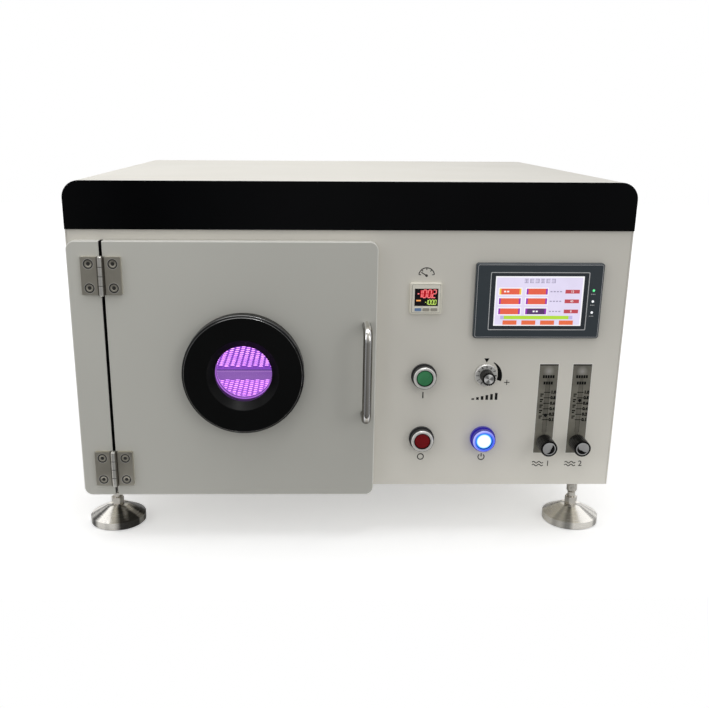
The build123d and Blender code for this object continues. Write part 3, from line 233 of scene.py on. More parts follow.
class Nodes:
    """A node tree with short ways to add and join nodes, and its place as x, y and z."""

    def __init__(self, tree, place="Object", unit=1 / MM):
        self.tree = tree
        self.place = self.add("ShaderNodeTexCoord").outputs[place]
        self.x, self.y, self.z = (axis * unit for axis in self.split(self.place))

    def add(self, kind, **values):
        node = self.tree.nodes.new(kind)
        for name, value in values.items():
            setattr(node, name, value)
        return node

    def link(self, source, target):
        self.tree.links.new(getattr(source, "socket", source), target)

    def split(self, vector):
        node = self.add("ShaderNodeSeparateXYZ")
        self.link(vector, node.inputs[0])
        return [Value(self, output) for output in node.outputs]

    def ray(self, kind):
        return Value(self, self.add("ShaderNodeLightPath").outputs["Is " + kind + " Ray"])

    def noise(self, scale, detail=3.0, stretch=(1, 1, 1), shift=(0, 0, 0)):
        mapping = self.add("ShaderNodeMapping")
        mapping.inputs["Scale"].default_value = stretch
        mapping.inputs["Location"].default_value = shift
        self.link(self.place, mapping.inputs["Vector"])
        texture = self.add("ShaderNodeTexNoise")
        texture.inputs["Scale"].default_value = scale
        texture.inputs["Detail"].default_value = detail
        self.link(mapping.outputs[0], texture.inputs["Vector"])
        return Value(self, texture.outputs["Fac"])

    def math(self, operation, *values):
        """Each value is a number or a socket."""
        node = self.add("ShaderNodeMath", operation=operation)
        for value, target in zip(values, node.inputs):
            if isinstance(value, (int, float)):
                target.default_value = value
            else:
                self.link(value, target)
        return Value(self, node.outputs[0])

    def choose(self, factor, first, second):
        """Go from the first value to the second as factor goes from 0 to 1."""
        return self.math("MULTIPLY_ADD", factor, self.math("SUBTRACT", second, first), first)

    def blend(self, factor, first, second):
        """Mix two colours, given as three numbers or as sockets."""
        node = self.add("ShaderNodeMix", data_type="RGBA")
        self.link(factor, node.inputs["Factor"])
        for socket, colour in (("A", first), ("B", second)):
            target = [s for s in node.inputs if s.name == socket and s.type == "RGBA"][0]
            if isinstance(colour, tuple):
                target.default_value = (*colour, 1)
            else:
                self.link(colour, target)
        return [s for s in node.outputs if s.type == "RGBA"][0]

    def ramp(self, value, *stops):
        """Colours at rising places, the first at 0 and the last at 1."""
        node = self.add("ShaderNodeValToRGB")
        elements = node.color_ramp.elements
        elements[0].color, elements[1].color = (*stops[0][1], 1), (*stops[-1][1], 1)
        for place, colour in stops[1:-1]:
            elements.new(place).color = (*colour, 1)
        self.link(value, node.inputs[0])
        return node.outputs[0]

    def levels(self, value, steps):
        """A value in even steps for -1 to 1."""
        stops = [(number / (len(steps) - 1), (step, step, step)) for number, step in enumerate(steps)]
        return Value(self, self.ramp(value.spread(0, 1, -1, 1), *stops))

    def reach(self, centre):
        """Distance from a line along Y."""
        return length(self.x - centre.x, self.z - centre.z)

    def outline_line(self, x_span, z_span, radius, width):
        """One on a line just inside a rounded rectangle in X and Z."""
        parts = []
        for axis, (start, end) in ((self.x, x_span), (self.z, z_span)):
            beyond = abs(axis - (start + end) / 2) - ((end - start) / 2 - radius)
            parts.append(beyond.math("MAXIMUM", 0.0))
        return length(*parts) > radius - width


class Finish(Nodes):
    """A material with its principled shader."""

    def __init__(self, name, colour, roughness, metallic=0.0, **sockets):
        self.material = bpy.data.materials.new(name)
        self.material.use_nodes = True
        super().__init__(self.material.node_tree)
        self.shader = self.tree.nodes["Principled BSDF"]
        self.colour = colour
        self.roughness = roughness
        self.normal = None
        values = {"Base Color": (*colour, 1), "Roughness": roughness, "Metallic": metallic, **sockets}
        for socket, value in values.items():
            self.shader.inputs[socket.replace("_", " ")].default_value = value

    def into(self, source, socket):
        self.link(source, self.shader.inputs[socket])

    def shades(self, factor, darker, lighter):
        """From a darker to a lighter share of the base colour."""
        return self.blend(factor, shade(self.colour, darker), shade(self.colour, lighter))

    def mottle(self, scale, amount):
        """Vary the base colour a little over the surface."""
        self.into(self.shades(self.noise(scale).spread(0, 1), 1 - amount, 1 + amount), "Base Color")

    def uneven_gloss(self, scale, amount):
        least = max(self.roughness - amount, 0.02)
        self.into(self.noise(scale).spread(least, self.roughness + amount), "Roughness")

    def bump(self, height, strength, distance):
        node = self.add("ShaderNodeBump")
        node.inputs["Strength"].default_value = strength
        node.inputs["Distance"].default_value = distance
        self.link(height, node.inputs["Height"])
        if self.normal is not None:
            self.link(self.normal, node.inputs["Normal"])
        self.normal = node.outputs[0]
        self.into(self.normal, "Normal")


# Plain materials

def coated(name, colour, roughness, tone, gloss, relief, metallic=0.0, **sockets):
    """Tone and gloss each vary by a scale and an amount; relief is scale, detail, strength and depth."""
    coat = Finish(name, colour, roughness, metallic, **sockets)
    coat.mottle(*tone)
    coat.uneven_gloss(*gloss)
    if relief:
        scale, detail, strength, depth = relief
        coat.bump(coat.noise(scale, detail), strength, depth)
    return coat.material


def gloss_black(name, colour=(0.0018, 0.002, 0.0025), roughness=0.07, level=0.12):
    return coated(name, colour, roughness, (14, 0.2), (30, 0.02), (60, 1, 0.05, 0.0004), Specular_IOR_Level=level)


def moulded(name, colour, roughness=0.42, grain=0.25, level=0.5):
    """Moulded plastic with a fine spark-eroded grain."""
    relief = (2200, 2, grain, 0.00006)
    return coated(name, colour, roughness, (22, 0.05), (60, 0.05), relief, Specular_IOR_Level=level)


def satin(name, colour):
    """Satin-plated metal, even in tone with a faint grain."""
    return coated(name, colour, 0.34, (60, 0.06), (120, 0.05), (700, 3, 0.06, 0.00006), 0.45)


def polished(name, colour=(0.60, 0.575, 0.53), roughness=0.12):
    return coated(name, colour, roughness, (35, 0.06), (120, 0.03), (55, 2, 0.06, 0.0003), 1.0)


def rubber(name):
    return coated(name, (0.02, 0.02, 0.021), 0.62, (40, 0.15), (80, 0.08), (1500, 3, 0.2, 0.0001))


def clear_glass(name, colour=(0.30, 0.26, 0.36), alpha=0.07, roughness=0.03):
    return coated(name, colour, roughness, (12, 0.04), (18, 0.015), (20, 1, 0.02, 0.0004), Alpha=alpha)


def ink(name, colour):
    """Screen-printed ink with a slightly broken tone."""
    return coated(name, colour, 0.5, (700, 0.25), (300, 0.1), None, Specular_IOR_Level=0.15)


def cast_metal(name, colour, roughness=0.5):
    return coated(name, colour, roughness, (28, 0.1), (45, 0.08), (480, 4, 0.3, 0.0002), 1.0)


def lit(name, colour, strength=0.95, base=(0.02, 0.02, 0.02)):
    """A lit face: slightly uneven light from behind."""
    light = Finish(name, base, 0.25, Emission_Strength=strength)
    light.into(light.blend(light.noise(70).spread(0, 1), shade(colour, 0.94), colour), "Emission Color")
    light.uneven_gloss(50, 0.05)
    return light.material


def brushed(name, colour, stretch, roughness=0.30, strength=0.22):
    """Metal with fine lines along one direction and faint handling marks."""
    metal = Finish(name, colour, roughness, 1.0)
    lines = metal.noise(260, 4, stretch)
    metal.into(lines.spread(roughness - 0.08, roughness + 0.10), "Roughness")
    metal.into(metal.shades(lines.spread(0, 1), 0.88, 1.12), "Base Color")
    metal.bump(lines, strength, 0.00008)
    metal.bump(metal.noise(40), 0.06, 0.0004)
    return metal.material


def turned_metal(name, colour, roughness, metallic):
    """Lathe-turned metal: its gloss is drawn out round the axis."""
    metal = Finish(name, colour, roughness, metallic, Anisotropic=0.8)
    tangent = metal.add("ShaderNodeTangent", direction_type="RADIAL", axis="Y")
    metal.into(tangent.outputs[0], "Tangent")
    marks = metal.noise(90, stretch=(1, 30, 1))
    metal.into(marks.spread(roughness - 0.05, roughness + 0.07), "Roughness")
    metal.mottle(50, 0.06)
    metal.bump(marks, 0.08, 0.00006)
    return metal.material


# Materials that know where they are

def powder_coat(name, colour, roughness=0.46, grain=0.10, drift=0.03, part=None):
    """Fine orange peel over a slightly uneven tone, with painted shade in the slit beside the hinges, and painted
    light, shade and edge highlights on the door and the cabinet.
    """
    paint = Finish(name, colour, roughness, Specular_IOR_Level=0.42)
    door_low, door_high = low("door_plate"), high("door_plate")
    x_span, z_span = (low("hinge_strip").x, door_high.x), (door_low.z, door_high.z)
    tone = paint.noise(3.4).spread(0, 1)
    if part == "door":
        # Painted light: the door plate is lighter towards its left and its top.
        tone = tone * 0.15 + paint.x.spread(0.35, 0, *x_span) + paint.z.spread(0, 0.5, *z_span)
    coat = paint.shades(tone, 1 - drift, 1 + drift)
    if part == "cabinet":
        top = high("cabinet_cover").z
        right = paint.x.spread(0, 1, 0, 300)
        # Painted shade along the top towards the right, then painted light on the front towards the lower right.
        coat = paint.blend(right * paint.z.within(top - 2, top + 1), coat, shade(colour, 0.80))
        coat = paint.blend(right * paint.z.spread(1, 0, 70, 260), coat, shade(colour, 1.22))
    if part == "door":
        # Painted highlight: a pale line along the outline of the hinge strip and the door plate.
        coat = paint.blend(paint.outline_line(x_span, z_span, PLATE_CORNER, PLATE_LINE), coat, (0.86, 0.85, 0.80))
    # Painted shade: near black on the faces inside the slit between the hinge strip and the door.
    slit = paint.x.within(high("hinge_strip").x - SLIT_EDGE, door_low.x + SLIT_EDGE) * paint.z.within(*z_span)
    slit = slit * paint.y.within(DOOR_Y + SLIT_DEPTH, PANEL_Y + SLIT_EDGE)
    paint.into(paint.blend(slit, coat, (0.012, 0.012, 0.012)), "Base Color")
    paint.uneven_gloss(9, 0.05)
    paint.bump(paint.noise(900, 2), grain, 0.00012)
    return paint.material


def hinge_steel(name):
    """Satin leaves; on the knuckles a painted highlight down the middle and painted shade towards their sides."""
    colour = (0.70, 0.665, 0.57)
    metal = Finish(name, colour, 0.32, 1.0)
    metal.uneven_gloss(70, 0.04)
    metal.bump(metal.noise(45), 0.05, 0.0004)
    # Painted highlight and shade across the knuckles, by distance from the pin.
    away = abs(metal.x - middle("hinge_pins").x).spread(0, 1, 0, 5)
    tone = metal.ramp(away, (0, (1.0, 0.99, 0.95)), (0.28, (0.95, 0.93, 0.87)), (0.50, (0.12, 0.11, 0.09)),
                      (0.80, (0.10, 0.09, 0.08)), (0.90, colour), (1, colour))
    metal.into(tone, "Base Color")
    return metal.material


def handle_steel(name):
    """Polished bar with painted highlights as bright lines along its flanks, and painted shade on its sides and its
    lower bend.
    """
    metal = Finish(name, (0.62, 0.60, 0.56), 0.12, 1.0)
    uneven = metal.noise(90, stretch=(1, 1, 0.1)).spread(-0.05, 0.05)
    away = abs(metal.x - middle("door_handle").x).spread(0, 1, 0, 4) + uneven
    # Painted highlight lines and painted shade across the bar, by distance from its middle.
    bar = metal.ramp(away, (0, (0.70, 0.675, 0.62)), (0.38, (0.76, 0.735, 0.68)), (0.48, (1, 1, 1)),
                     (0.70, (1, 1, 1)), (0.80, (0.20, 0.19, 0.17)), (1, (0.16, 0.15, 0.13)))
    # Painted shade on the lower bend.
    bottom = low("door_handle").z
    bend = metal.z.spread(0.75, 0, bottom + 4, bottom + 10)
    metal.into(metal.blend(bend, bar, (0.06, 0.056, 0.05)), "Base Color")
    metal.uneven_gloss(120, 0.03)
    metal.bump(metal.noise(55, 2), 0.06, 0.0003)
    return metal.material


def foot_metal(name):
    """Turned steel pads with painted reflections as bright and dark sectors round their stems, painted shade on the
    right side of the left pads and painted light towards the right.
    """
    metal = Finish(name, (0.54, 0.525, 0.495), 0.22, 1.0)
    pad = middle("foot_pad_front_right")
    angle = metal.math("ARCTAN2", abs(metal.x) - pad.x, abs(metal.y) + pad.y)
    # Painted reflections: bright and dark sectors round the stem.
    sectors = (angle * 11 + 1.9).sine() * 0.55 + (angle * 4 + 0.4).sine()
    marks = metal.noise(90, stretch=(1, 1, 30))
    # Painted shade on the right side of the left pads, and painted light on the pads towards the right.
    across = metal.x - middle("foot_pad_front_left").x
    shaded_side = across.spread(0, 0.8, 12, 22) * across.spread(1, 0, 40, 50)
    tone = marks * 0.4 + sectors.spread(-0.22, 1.0, -1.2, 1.2) + metal.x.spread(0, 0.30, -100, 100) - shaded_side
    metal.into(metal.shades(tone, 0.12, 1.85), "Base Color")
    metal.into(marks.spread(0.16, 0.32), "Roughness")
    metal.bump(marks, 0.08, 0.00006)
    return metal.material


def spun_cap(name):
    """The power knob's spun end face: fine rings, and soft bright and dark sectors painted on as sheen."""
    cap = Finish(name, (0.58, 0.58, 0.57), 0.26, 0.5)
    knob = middle("power_knob")
    angle = cap.math("ARCTAN2", cap.x - knob.x, cap.z - knob.z)
    # Painted sheen: bright and dark sectors round the cap.
    sectors = (angle * 3 + 0.6).sine()
    cap.into(cap.shades(sectors.spread(0, 1, -0.9, 0.9), 0.45, 1.7), "Base Color")
    cap.into(sectors.spread(0.18, 0.34, -1, 1), "Roughness")
    cap.bump((cap.reach(knob) * 9).sine(), 0.12, 0.00004)
    return cap.material


def acrylic(name):
    """Smoky clear block: clearer over the float tube, dark at its top, with a painted soft glint under it."""
    clear = Finish(name, (0.215, 0.205, 0.170), 0.16)
    left, right = middle("flow_meter_left").x, middle("flow_meter_right").x
    top = high("flow_meter_left").z
    tone = clear.noise(60).spread(-0.35, 0.35) + clear.z.spread(0.25, 0, low("flow_meter_left").z + 30, top)
    body = clear.shades(tone.spread(0, 1, -0.4, 0.6), 0.70, 1.35)
    across = abs(clear.x - (left + right) / 2) - (right - left) / 2
    # Painted highlight: a soft pale spot under the top of each block.
    glint = length(across, clear.z - (top - 8)).spread(0.8, 0, 0.5, 6.5)
    body = clear.blend(glint, body, (0.47, 0.46, 0.43))
    clear.into(clear.blend(clear.z > top - 1.4, body, (0.03, 0.028, 0.024)), "Base Color")
    tube = (abs(across) < 1.9) * (clear.z < top - 16)
    clear.into(tube.spread(0.92, 0.72, 0, 1), "Alpha")
    clear.uneven_gloss(60, 0.05)
    clear.bump(clear.noise(120, 2, (1, 1, 6)), 0.12, 0.0003)
    return clear.material


# The tones of the glow, painted as emission in the chamber
PURPLE = (0.456, 0.141, 0.831)
DULL_PURPLE = (0.262, 0.105, 0.456)
BRIDGE_PURPLE = (0.20, 0.050, 0.46)
SHEET_VIOLET = (0.235, 0.055, 0.56)
SHEET_PINK = (0.44, 0.12, 0.72)


def chamber_steel(name):
    """Satin steel with the violet glow's light painted on its inner walls as emission."""
    steel = Finish(name, (0.42, 0.42, 0.43), 0.34, 1.0)
    lines = steel.noise(180, 4, (1, 0.05, 1))
    steel.into(lines.spread(0.26, 0.44), "Roughness")
    steel.bump(lines, 0.12, 0.0001)
    centre = middle("chamber_body")
    rails_low, rails_high = low("tray_rails"), high("tray_rails")
    half = (rails_high.x - rails_low.x + CHAMBER_WALL) / 2
    inside = (abs(steel.x - centre.x) < half) * (abs(steel.z - centre.z) < half)
    depth = steel.y.within(PANEL_Y + CHAMBER_FLANGE, rails_high.y + 3 * CHAMBER_WALL)
    # Painted light: the inner walls emit the violet glow.
    steel.into(steel.blend(steel.noise(14).spread(0, 1), DULL_PURPLE, PURPLE), "Emission Color")
    steel.into(inside * depth * 0.7, "Emission Strength")
    return steel.material


def tray_metal(name):
    """Satin sheet with the glow's light painted on as emission: bluer on the upper tray, pinker on the lower one,
    darker bridges, and a painted dark line and bright line along each lip.
    """
    sheet = Finish(name, (0.03, 0.012, 0.06), 0.5, Emission_Strength=0.95)
    sheet.uneven_gloss(90, 0.06)
    sheet.bump(sheet.noise(260), 0.1, 0.0001)
    tray_low, tray_high = low("tray_upper"), high("tray_upper")
    upper = sheet.z > (middle("tray_upper").z + middle("tray_lower").z) / 2
    patches = sheet.noise(14, 1).spread(-0.35, 0.35)
    tone = sheet.blend(upper + patches, SHEET_PINK, SHEET_VIOLET)
    across = sheet.x - middle("tray_upper").x
    half = HOLE_COLUMN / 2
    bridge = across.math("PINGPONG", half).spread(0, 1, half - 2.6, half - 1.6)
    bridge = bridge * abs(across).spread(1, 0, TRAY_HALF - 0.5, TRAY_HALF)
    bridge = bridge * sheet.y.within(tray_low.y + TRAY_MARGIN, tray_high.y - TRAY_MARGIN)
    tone = sheet.blend(bridge, tone, BRIDGE_PURPLE)
    # Painted shade and highlight: a dark line and a bright line along the lip's top edge.
    lip = sheet.noise(60, stretch=(0.3, 1, 2)).spread(0, 1)
    lip = sheet.blend(lip, DULL_PURPLE, (0.30, 0.13, 0.50))
    edge = tray_high.z - TRAY_SHEET
    lip = sheet.blend(sheet.z.within(edge, tray_high.z + 1.0), lip, (0.13, 0.045, 0.28))
    lip = sheet.blend(sheet.z.within(edge - 1.1, edge), lip, (0.42, 0.20, 0.62))
    facing = sheet.split(sheet.add("ShaderNodeNewGeometry").outputs["Normal"])
    sheet.into(sheet.blend(abs(facing[2]), lip, tone), "Emission Color")
    return sheet.material


def hole_edge(name):
    """The holes' walls, with the glow's light painted on as emission: bright on their upper part, purple below."""
    wall = Finish(name, (0.90, 0.55, 0.90), 0.5, Emission_Strength=1.45)
    tops = high("tray_upper").z, high("tray_lower").z
    over, under = (wall.z.spread(0, 1, top - 1.15, top - 0.95) for top in tops)
    lower_tray = wall.z.spread(1, 0, tops[1] + 9, tops[1] + 10)
    bright = (under * lower_tray).math("MAXIMUM", over)
    glow = wall.blend(wall.noise(70).spread(0, 1), (0.62, 0.26, 0.90), (1.0, 0.52, 1.0))
    wall.into(wall.blend(bright, BRIDGE_PURPLE, glow), "Emission Color")
    wall.uneven_gloss(50, 0.05)
    return wall.material


def lit_up_rim(name):
    """The opening's wall and seat, with the glow painted on as emission: glow, then dark, then a violet line at the
    gasket, and painted shadow at the wall's front.
    """
    wall = Finish(name, (0.01, 0.01, 0.012), 0.25, Emission_Strength=0.95)
    reach = wall.reach(middle("window_glass"))
    dark, line = (0.02, 0.006, 0.04), (0.12, 0.04, 0.20)
    span = reach.spread(0, 1, 30.6, 34.0) + wall.noise(40).spread(-0.02, 0.02)
    rings = wall.ramp(span, (0, (0.52, 0.19, 0.86)), (0.56, (0.48, 0.16, 0.82)), (0.64, dark), (0.78, dark),
                      (0.84, line), (1, line))
    front = high("window_gasket").y
    shadow = reach.spread(1, 0, 31.0, 31.1) * wall.y.spread(1, 0, front + 1.2, front + 2.2)
    wall.into(wall.blend(shadow, rings, (0.06, 0.02, 0.11)), "Emission Color")
    return wall.material


def lamp_face(name):
    """The lit push button: white in the middle, blue towards its rim."""
    lamp = Finish(name, (0.05, 0.10, 0.4), 0.25, Emission_Strength=1.0)
    centre = middle("power_button_cap")
    reach = lamp.reach(centre).spread(0, 1, 0, high("power_button_cap").x - centre.x)
    tone = lamp.ramp(reach, (0, (1, 1, 1)), (0.76, (1, 1, 1)), (0.84, (0.45, 0.90, 1.0)), (0.92, (0.02, 0.38, 1.0)),
                     (1, (0.01, 0.10, 0.85)))
    lamp.into(tone, "Emission Color")
    lamp.bump(lamp.noise(300), 0.05, 0.0001)
    return lamp.material


def button_plastic(name, colour, node):
    """A glossy cap with painted shade in the groove round its edge."""
    cap = Finish(name, colour, 0.28, Specular_IOR_Level=0.3)
    face = cap.shades(cap.noise(60).spread(0, 1), 0.85, 1.15)
    # Painted shade: near black round the cap's edge.
    cap.into(cap.blend(cap.reach(middle(node)) > 8.45, face, (0.006, 0.006, 0.006)), "Base Color")
    cap.uneven_gloss(90, 0.05)
    cap.bump(cap.noise(500), 0.05, 0.0001)
    return cap.material


def blue_rim(name):
    """The lit button's ring: vivid blue inside, lavender outside, with a painted highlight that makes it palest at its
    upper left.
    """
    rim = Finish(name, (0.08, 0.08, 0.30), 0.3, Emission_Strength=0.85)
    centre = middle("power_button_cap")
    rise = centre.z - centre.x
    # Painted highlight: paler towards the upper left.
    outside = rim.blend((rim.z - rim.x).spread(0, 1, rise - 14, rise + 14), (0.05, 0.08, 0.86), (0.50, 0.52, 1.0))
    reach = rim.reach(centre).spread(0, 1, 9.8, 11.4) + rim.noise(120).spread(-0.1, 0.1)
    rim.into(rim.blend(reach, (0.005, 0.14, 0.88), outside), "Emission Color")
    rim.bump(rim.noise(400), 0.04, 0.0001)
    return rim.material


# Each material under the function that makes it, with what that function takes after the name
FINISHES = {
    powder_coat: {
        "cabinet_paint": ((0.77, 0.745, 0.675), 0.46, 0.10, 0.03, "cabinet"),
        "door_paint": ((0.60, 0.595, 0.545), 0.40, 0.07, 0.16, "door"),
        "edge_paint": ((0.95, 0.93, 0.87),),
    },
    gloss_black: {
        "band_black": (),
        "ring_black": ((0.0028, 0.003, 0.003), 0.32, 0.16),
        "screen_glass": ((0.012, 0.012, 0.018), 0.12, 0.4),
        "gauge_dark": ((0.010, 0.007, 0.009), 0.2, 0.3),
    },
    moulded: {
        "pale_backing": ((0.80, 0.77, 0.66), 0.6, 0.1),
        "ceramic_white": ((0.80, 0.79, 0.74), 0.55, 0.1),
        "rail_white": ((0.80, 0.79, 0.78), 0.5, 0.1),
        "slate_plastic": ((0.042, 0.055, 0.066), 0.40),
        "slate_dark": ((0.032, 0.040, 0.050), 0.30),
        "slate_line": ((0.62, 0.63, 0.64), 0.35),
        "ivory_plastic": ((0.90, 0.87, 0.76), 0.36, 0.08),
        "black_plastic": ((0.022, 0.022, 0.024),),
        "screw_seat": ((0.03, 0.028, 0.024), 0.5),
        "float_black": ((0.01, 0.01, 0.01), 0.2, 0.02),
        "knob_black": ((0.003, 0.003, 0.003), 0.30, 0.12, 0.2),
        "seam_grey": ((0.16, 0.155, 0.13), 0.5, 0.1),
        "key_blue": ((0.15, 0.27, 0.50), 0.4, 0.1),
        "key_grey": ((0.38, 0.36, 0.30), 0.4, 0.1),
    },
    polished: {
        "stem_steel": (),
        "chrome_trim": ((0.66, 0.66, 0.66), 0.16),
        "edge_steel": ((0.20, 0.20, 0.20), 0.18),
        "seat_rim": ((0.92, 0.90, 0.84), 0.35),
    },
    brushed: {
        "vacuum_steel": ((0.62, 0.62, 0.61), (1, 0.05, 1)),
        "screw_steel": ((0.66, 0.63, 0.54), (1, 1, 1), 0.34, 0.1),
    },
    turned_metal: {
        "cap_silver": ((0.50, 0.50, 0.50), 0.34, 0.45),
        "skirt_metal": ((0.78, 0.77, 0.74), 0.30, 0.5),
    },
    cast_metal: {
        "aluminium_cast": ((0.52, 0.52, 0.52),),
        "brass_body": ((0.66, 0.48, 0.22), 0.3),
        "zinc_steel": ((0.55, 0.56, 0.54), 0.34),
    },
    clear_glass: {"clear_glass": (), "nylon_tube": ((0.62, 0.70, 0.78), 0.9, 0.25)},
    ink: {"ink": ((0.020, 0.020, 0.018),), "scale_ink": ((0.003, 0.003, 0.003),)},
    button_plastic: {
        "green_plastic": ((0.055, 0.265, 0.11), "start_button_cap"),
        "red_plastic": ((0.20, 0.004, 0.007), "stop_button_cap"),
    },
    lit: {
        "blue_ring": ((0.03, 0.015, 0.42), 0.55, (0.01, 0.01, 0.06)),
        "screen_back": ((0.80, 0.74, 0.95), 0.98),
        "screen_white": ((0.98, 0.97, 1.0), 1.0),
        "screen_red": ((0.85, 0.125, 0.065),),
        "screen_orange": ((0.86, 0.16, 0.06),),
        "screen_violet": ((0.32, 0.035, 0.48),),
        "screen_plum": ((0.10, 0.035, 0.15),),
        "screen_lime": ((0.48, 0.78, 0.045),),
        "screen_lilac": ((0.55, 0.50, 0.82),),
        "screen_rose": ((0.56, 0.070, 0.090),),
        "screen_amber": ((0.95, 0.62, 0.08),),
        "screen_grey": ((0.40, 0.36, 0.52),),
        "digit_red": ((1.0, 0.20, 0.21), 1.05),
        "digit_lime": ((0.66, 0.95, 0.16), 1.05),
        "digit_orange": ((1.0, 0.40, 0.10), 1.0),
        "digit_glow": ((0.46, 0.002, 0.010), 0.9, (0.03, 0.004, 0.006)),
        "led_green": ((0.12, 0.90, 0.30), 1.3),
        "led_white": ((0.95, 0.97, 1.0), 1.1),
    },
    satin: {"satin_ring": ((0.86, 0.85, 0.82),)},
    hinge_steel: {"stainless_brushed": ()},
    handle_steel: {"stainless_polished": ()},
    spun_cap: {"spun_metal": ()},
    rubber: {"rubber_black": ()},
    **{make: {make.__name__: ()} for make in (
        foot_metal, acrylic, chamber_steel, tray_metal, hole_edge, lit_up_rim, lamp_face, blue_rim)},
}
MATERIALS = {name: make(name, *values) for make, table in FINISHES.items() for name, values in table.items()}

DRESSES = {
    "cabinet_paint": "cabinet_cover base_pan front_panel rear_panel",
    "band_black": "fascia_band",
    "door_paint": "hinge_strip door_plate",
    "stainless_brushed": "hinge_frame_leaves hinge_door_leaves hinge_pins foot_lock_nuts",
    "ring_black": "window_ring",
    "clear_glass": "window_glass",
    "rubber_black": "window_gasket door_seal",
    "stainless_polished": "door_handle",
    "chamber_steel": "chamber_body",
    "rail_white": "tray_rails",
    "ceramic_white": "rf_feedthrough",
    "aluminium_cast": "rf_generator power_supply",
    "black_plastic": "controller mains_inlet fan_housing fan_rotor button_bezels button_contact_blocks "
                     "power_potentiometer",
    "zinc_steel": "vacuum_valve potentiometer_shaft",
    "vacuum_steel": "vacuum_pipe vacuum_port",
    "brass_body": "gas_inlet_fittings gas_solenoid_valves",
    "nylon_tube": "gas_tubes",
    "chrome_trim": "fan_guard",
    "slate_plastic": "touch_screen_body",
    "screen_glass": "touch_screen_glass",
    "ivory_plastic": "pressure_display_bezel pressure_display_body",
    "green_plastic": "start_button_cap",
    "red_plastic": "stop_button_cap",
    "lamp_face": "power_button_cap",
    "knob_black": "power_knob flow_knob_left flow_knob_right",
    "acrylic": "flow_meter_left flow_meter_right",
    "float_black": "flow_float_left flow_float_right",
    "foot_metal": " ".join("foot_pad_" + corner for corner in CORNERS),
    "stem_steel": " ".join("foot_stem_" + corner for corner in CORNERS),
}


def dress_nodes():
    for name, nodes in DRESSES.items():
        for node in nodes.split():
            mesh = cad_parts[node]
            if not mesh.material_slots:
                mesh.data.materials.append(MATERIALS[name])
            for slot in mesh.material_slots:
                slot.material = MATERIALS[name]


# Outlines

def circle(centre, y, radius, count=48):
    """Points of a circle that faces along Y."""
    angles = [2 * pi * number / count for number in range(count)]
    return [(centre.x + radius * cos(angle), y, centre.z + radius * sin(angle)) for angle in angles]


def hexagon(centre, y, flats, count=48):
    """As many points as a circle has, on a hexagon."""
    points = []
    for number in range(count):
        angle = 2 * pi * number / count
        radius = flats / 2 / cos(angle % (pi / 3) - pi / 6)
        points.append((centre.x + radius * cos(angle), y, centre.z + radius * sin(angle)))
    return points


def flat(points):
    return [(x, z) for x, _, z in points]


def spot(x, z):
    return Vector((x, 0, z))


def rectangle(x_span, z_span):
    """Corners in X and Z, anticlockwise."""
    (left, right), (bottom, top) = x_span, z_span
    return [(left, bottom), (right, bottom), (right, top), (left, top)]


def centred(centre, width, height):
    half_x, half_z = width / 2, height / 2
    return rectangle((centre.x - half_x, centre.x + half_x), (centre.z - half_z, centre.z + half_z))


def round_rectangle(centre, width, height, radius, steps=6):
    points = []
    for number, (side, end) in enumerate(((1, -1), (1, 1), (-1, 1), (-1, -1))):
        x = centre.x + side * (width / 2 - radius)
        z = centre.z + end * (height / 2 - radius)
        for step in range(steps + 1):
            angle = (number - 1 + step / steps) * pi / 2
            points.append((x + radius * cos(angle), z + radius * sin(angle)))
    return points


def clock(centre, radius, angle):
    """A point round a centre; the angle in degrees from straight up, clockwise."""
    return centre.x + radius * sin(radians(angle)), centre.z + radius * cos(radians(angle))


def arc(centre, radius, start, end, steps=24):
    return [clock(centre, radius, start + step / steps * (end - start)) for step in range(steps + 1)]


def wedge(centre, start, end, outer, width_at, steps=24):
    """A curved wedge; its width is worked out from the share of the way along it."""
    outside, inside = [], []
    for step in range(steps + 1):
        share = step / steps
        angle = start + share * (end - start)
        outside.append(clock(centre, outer, angle))
        inside.append(clock(centre, outer - width_at(share), angle))
    return outside + inside[::-1]


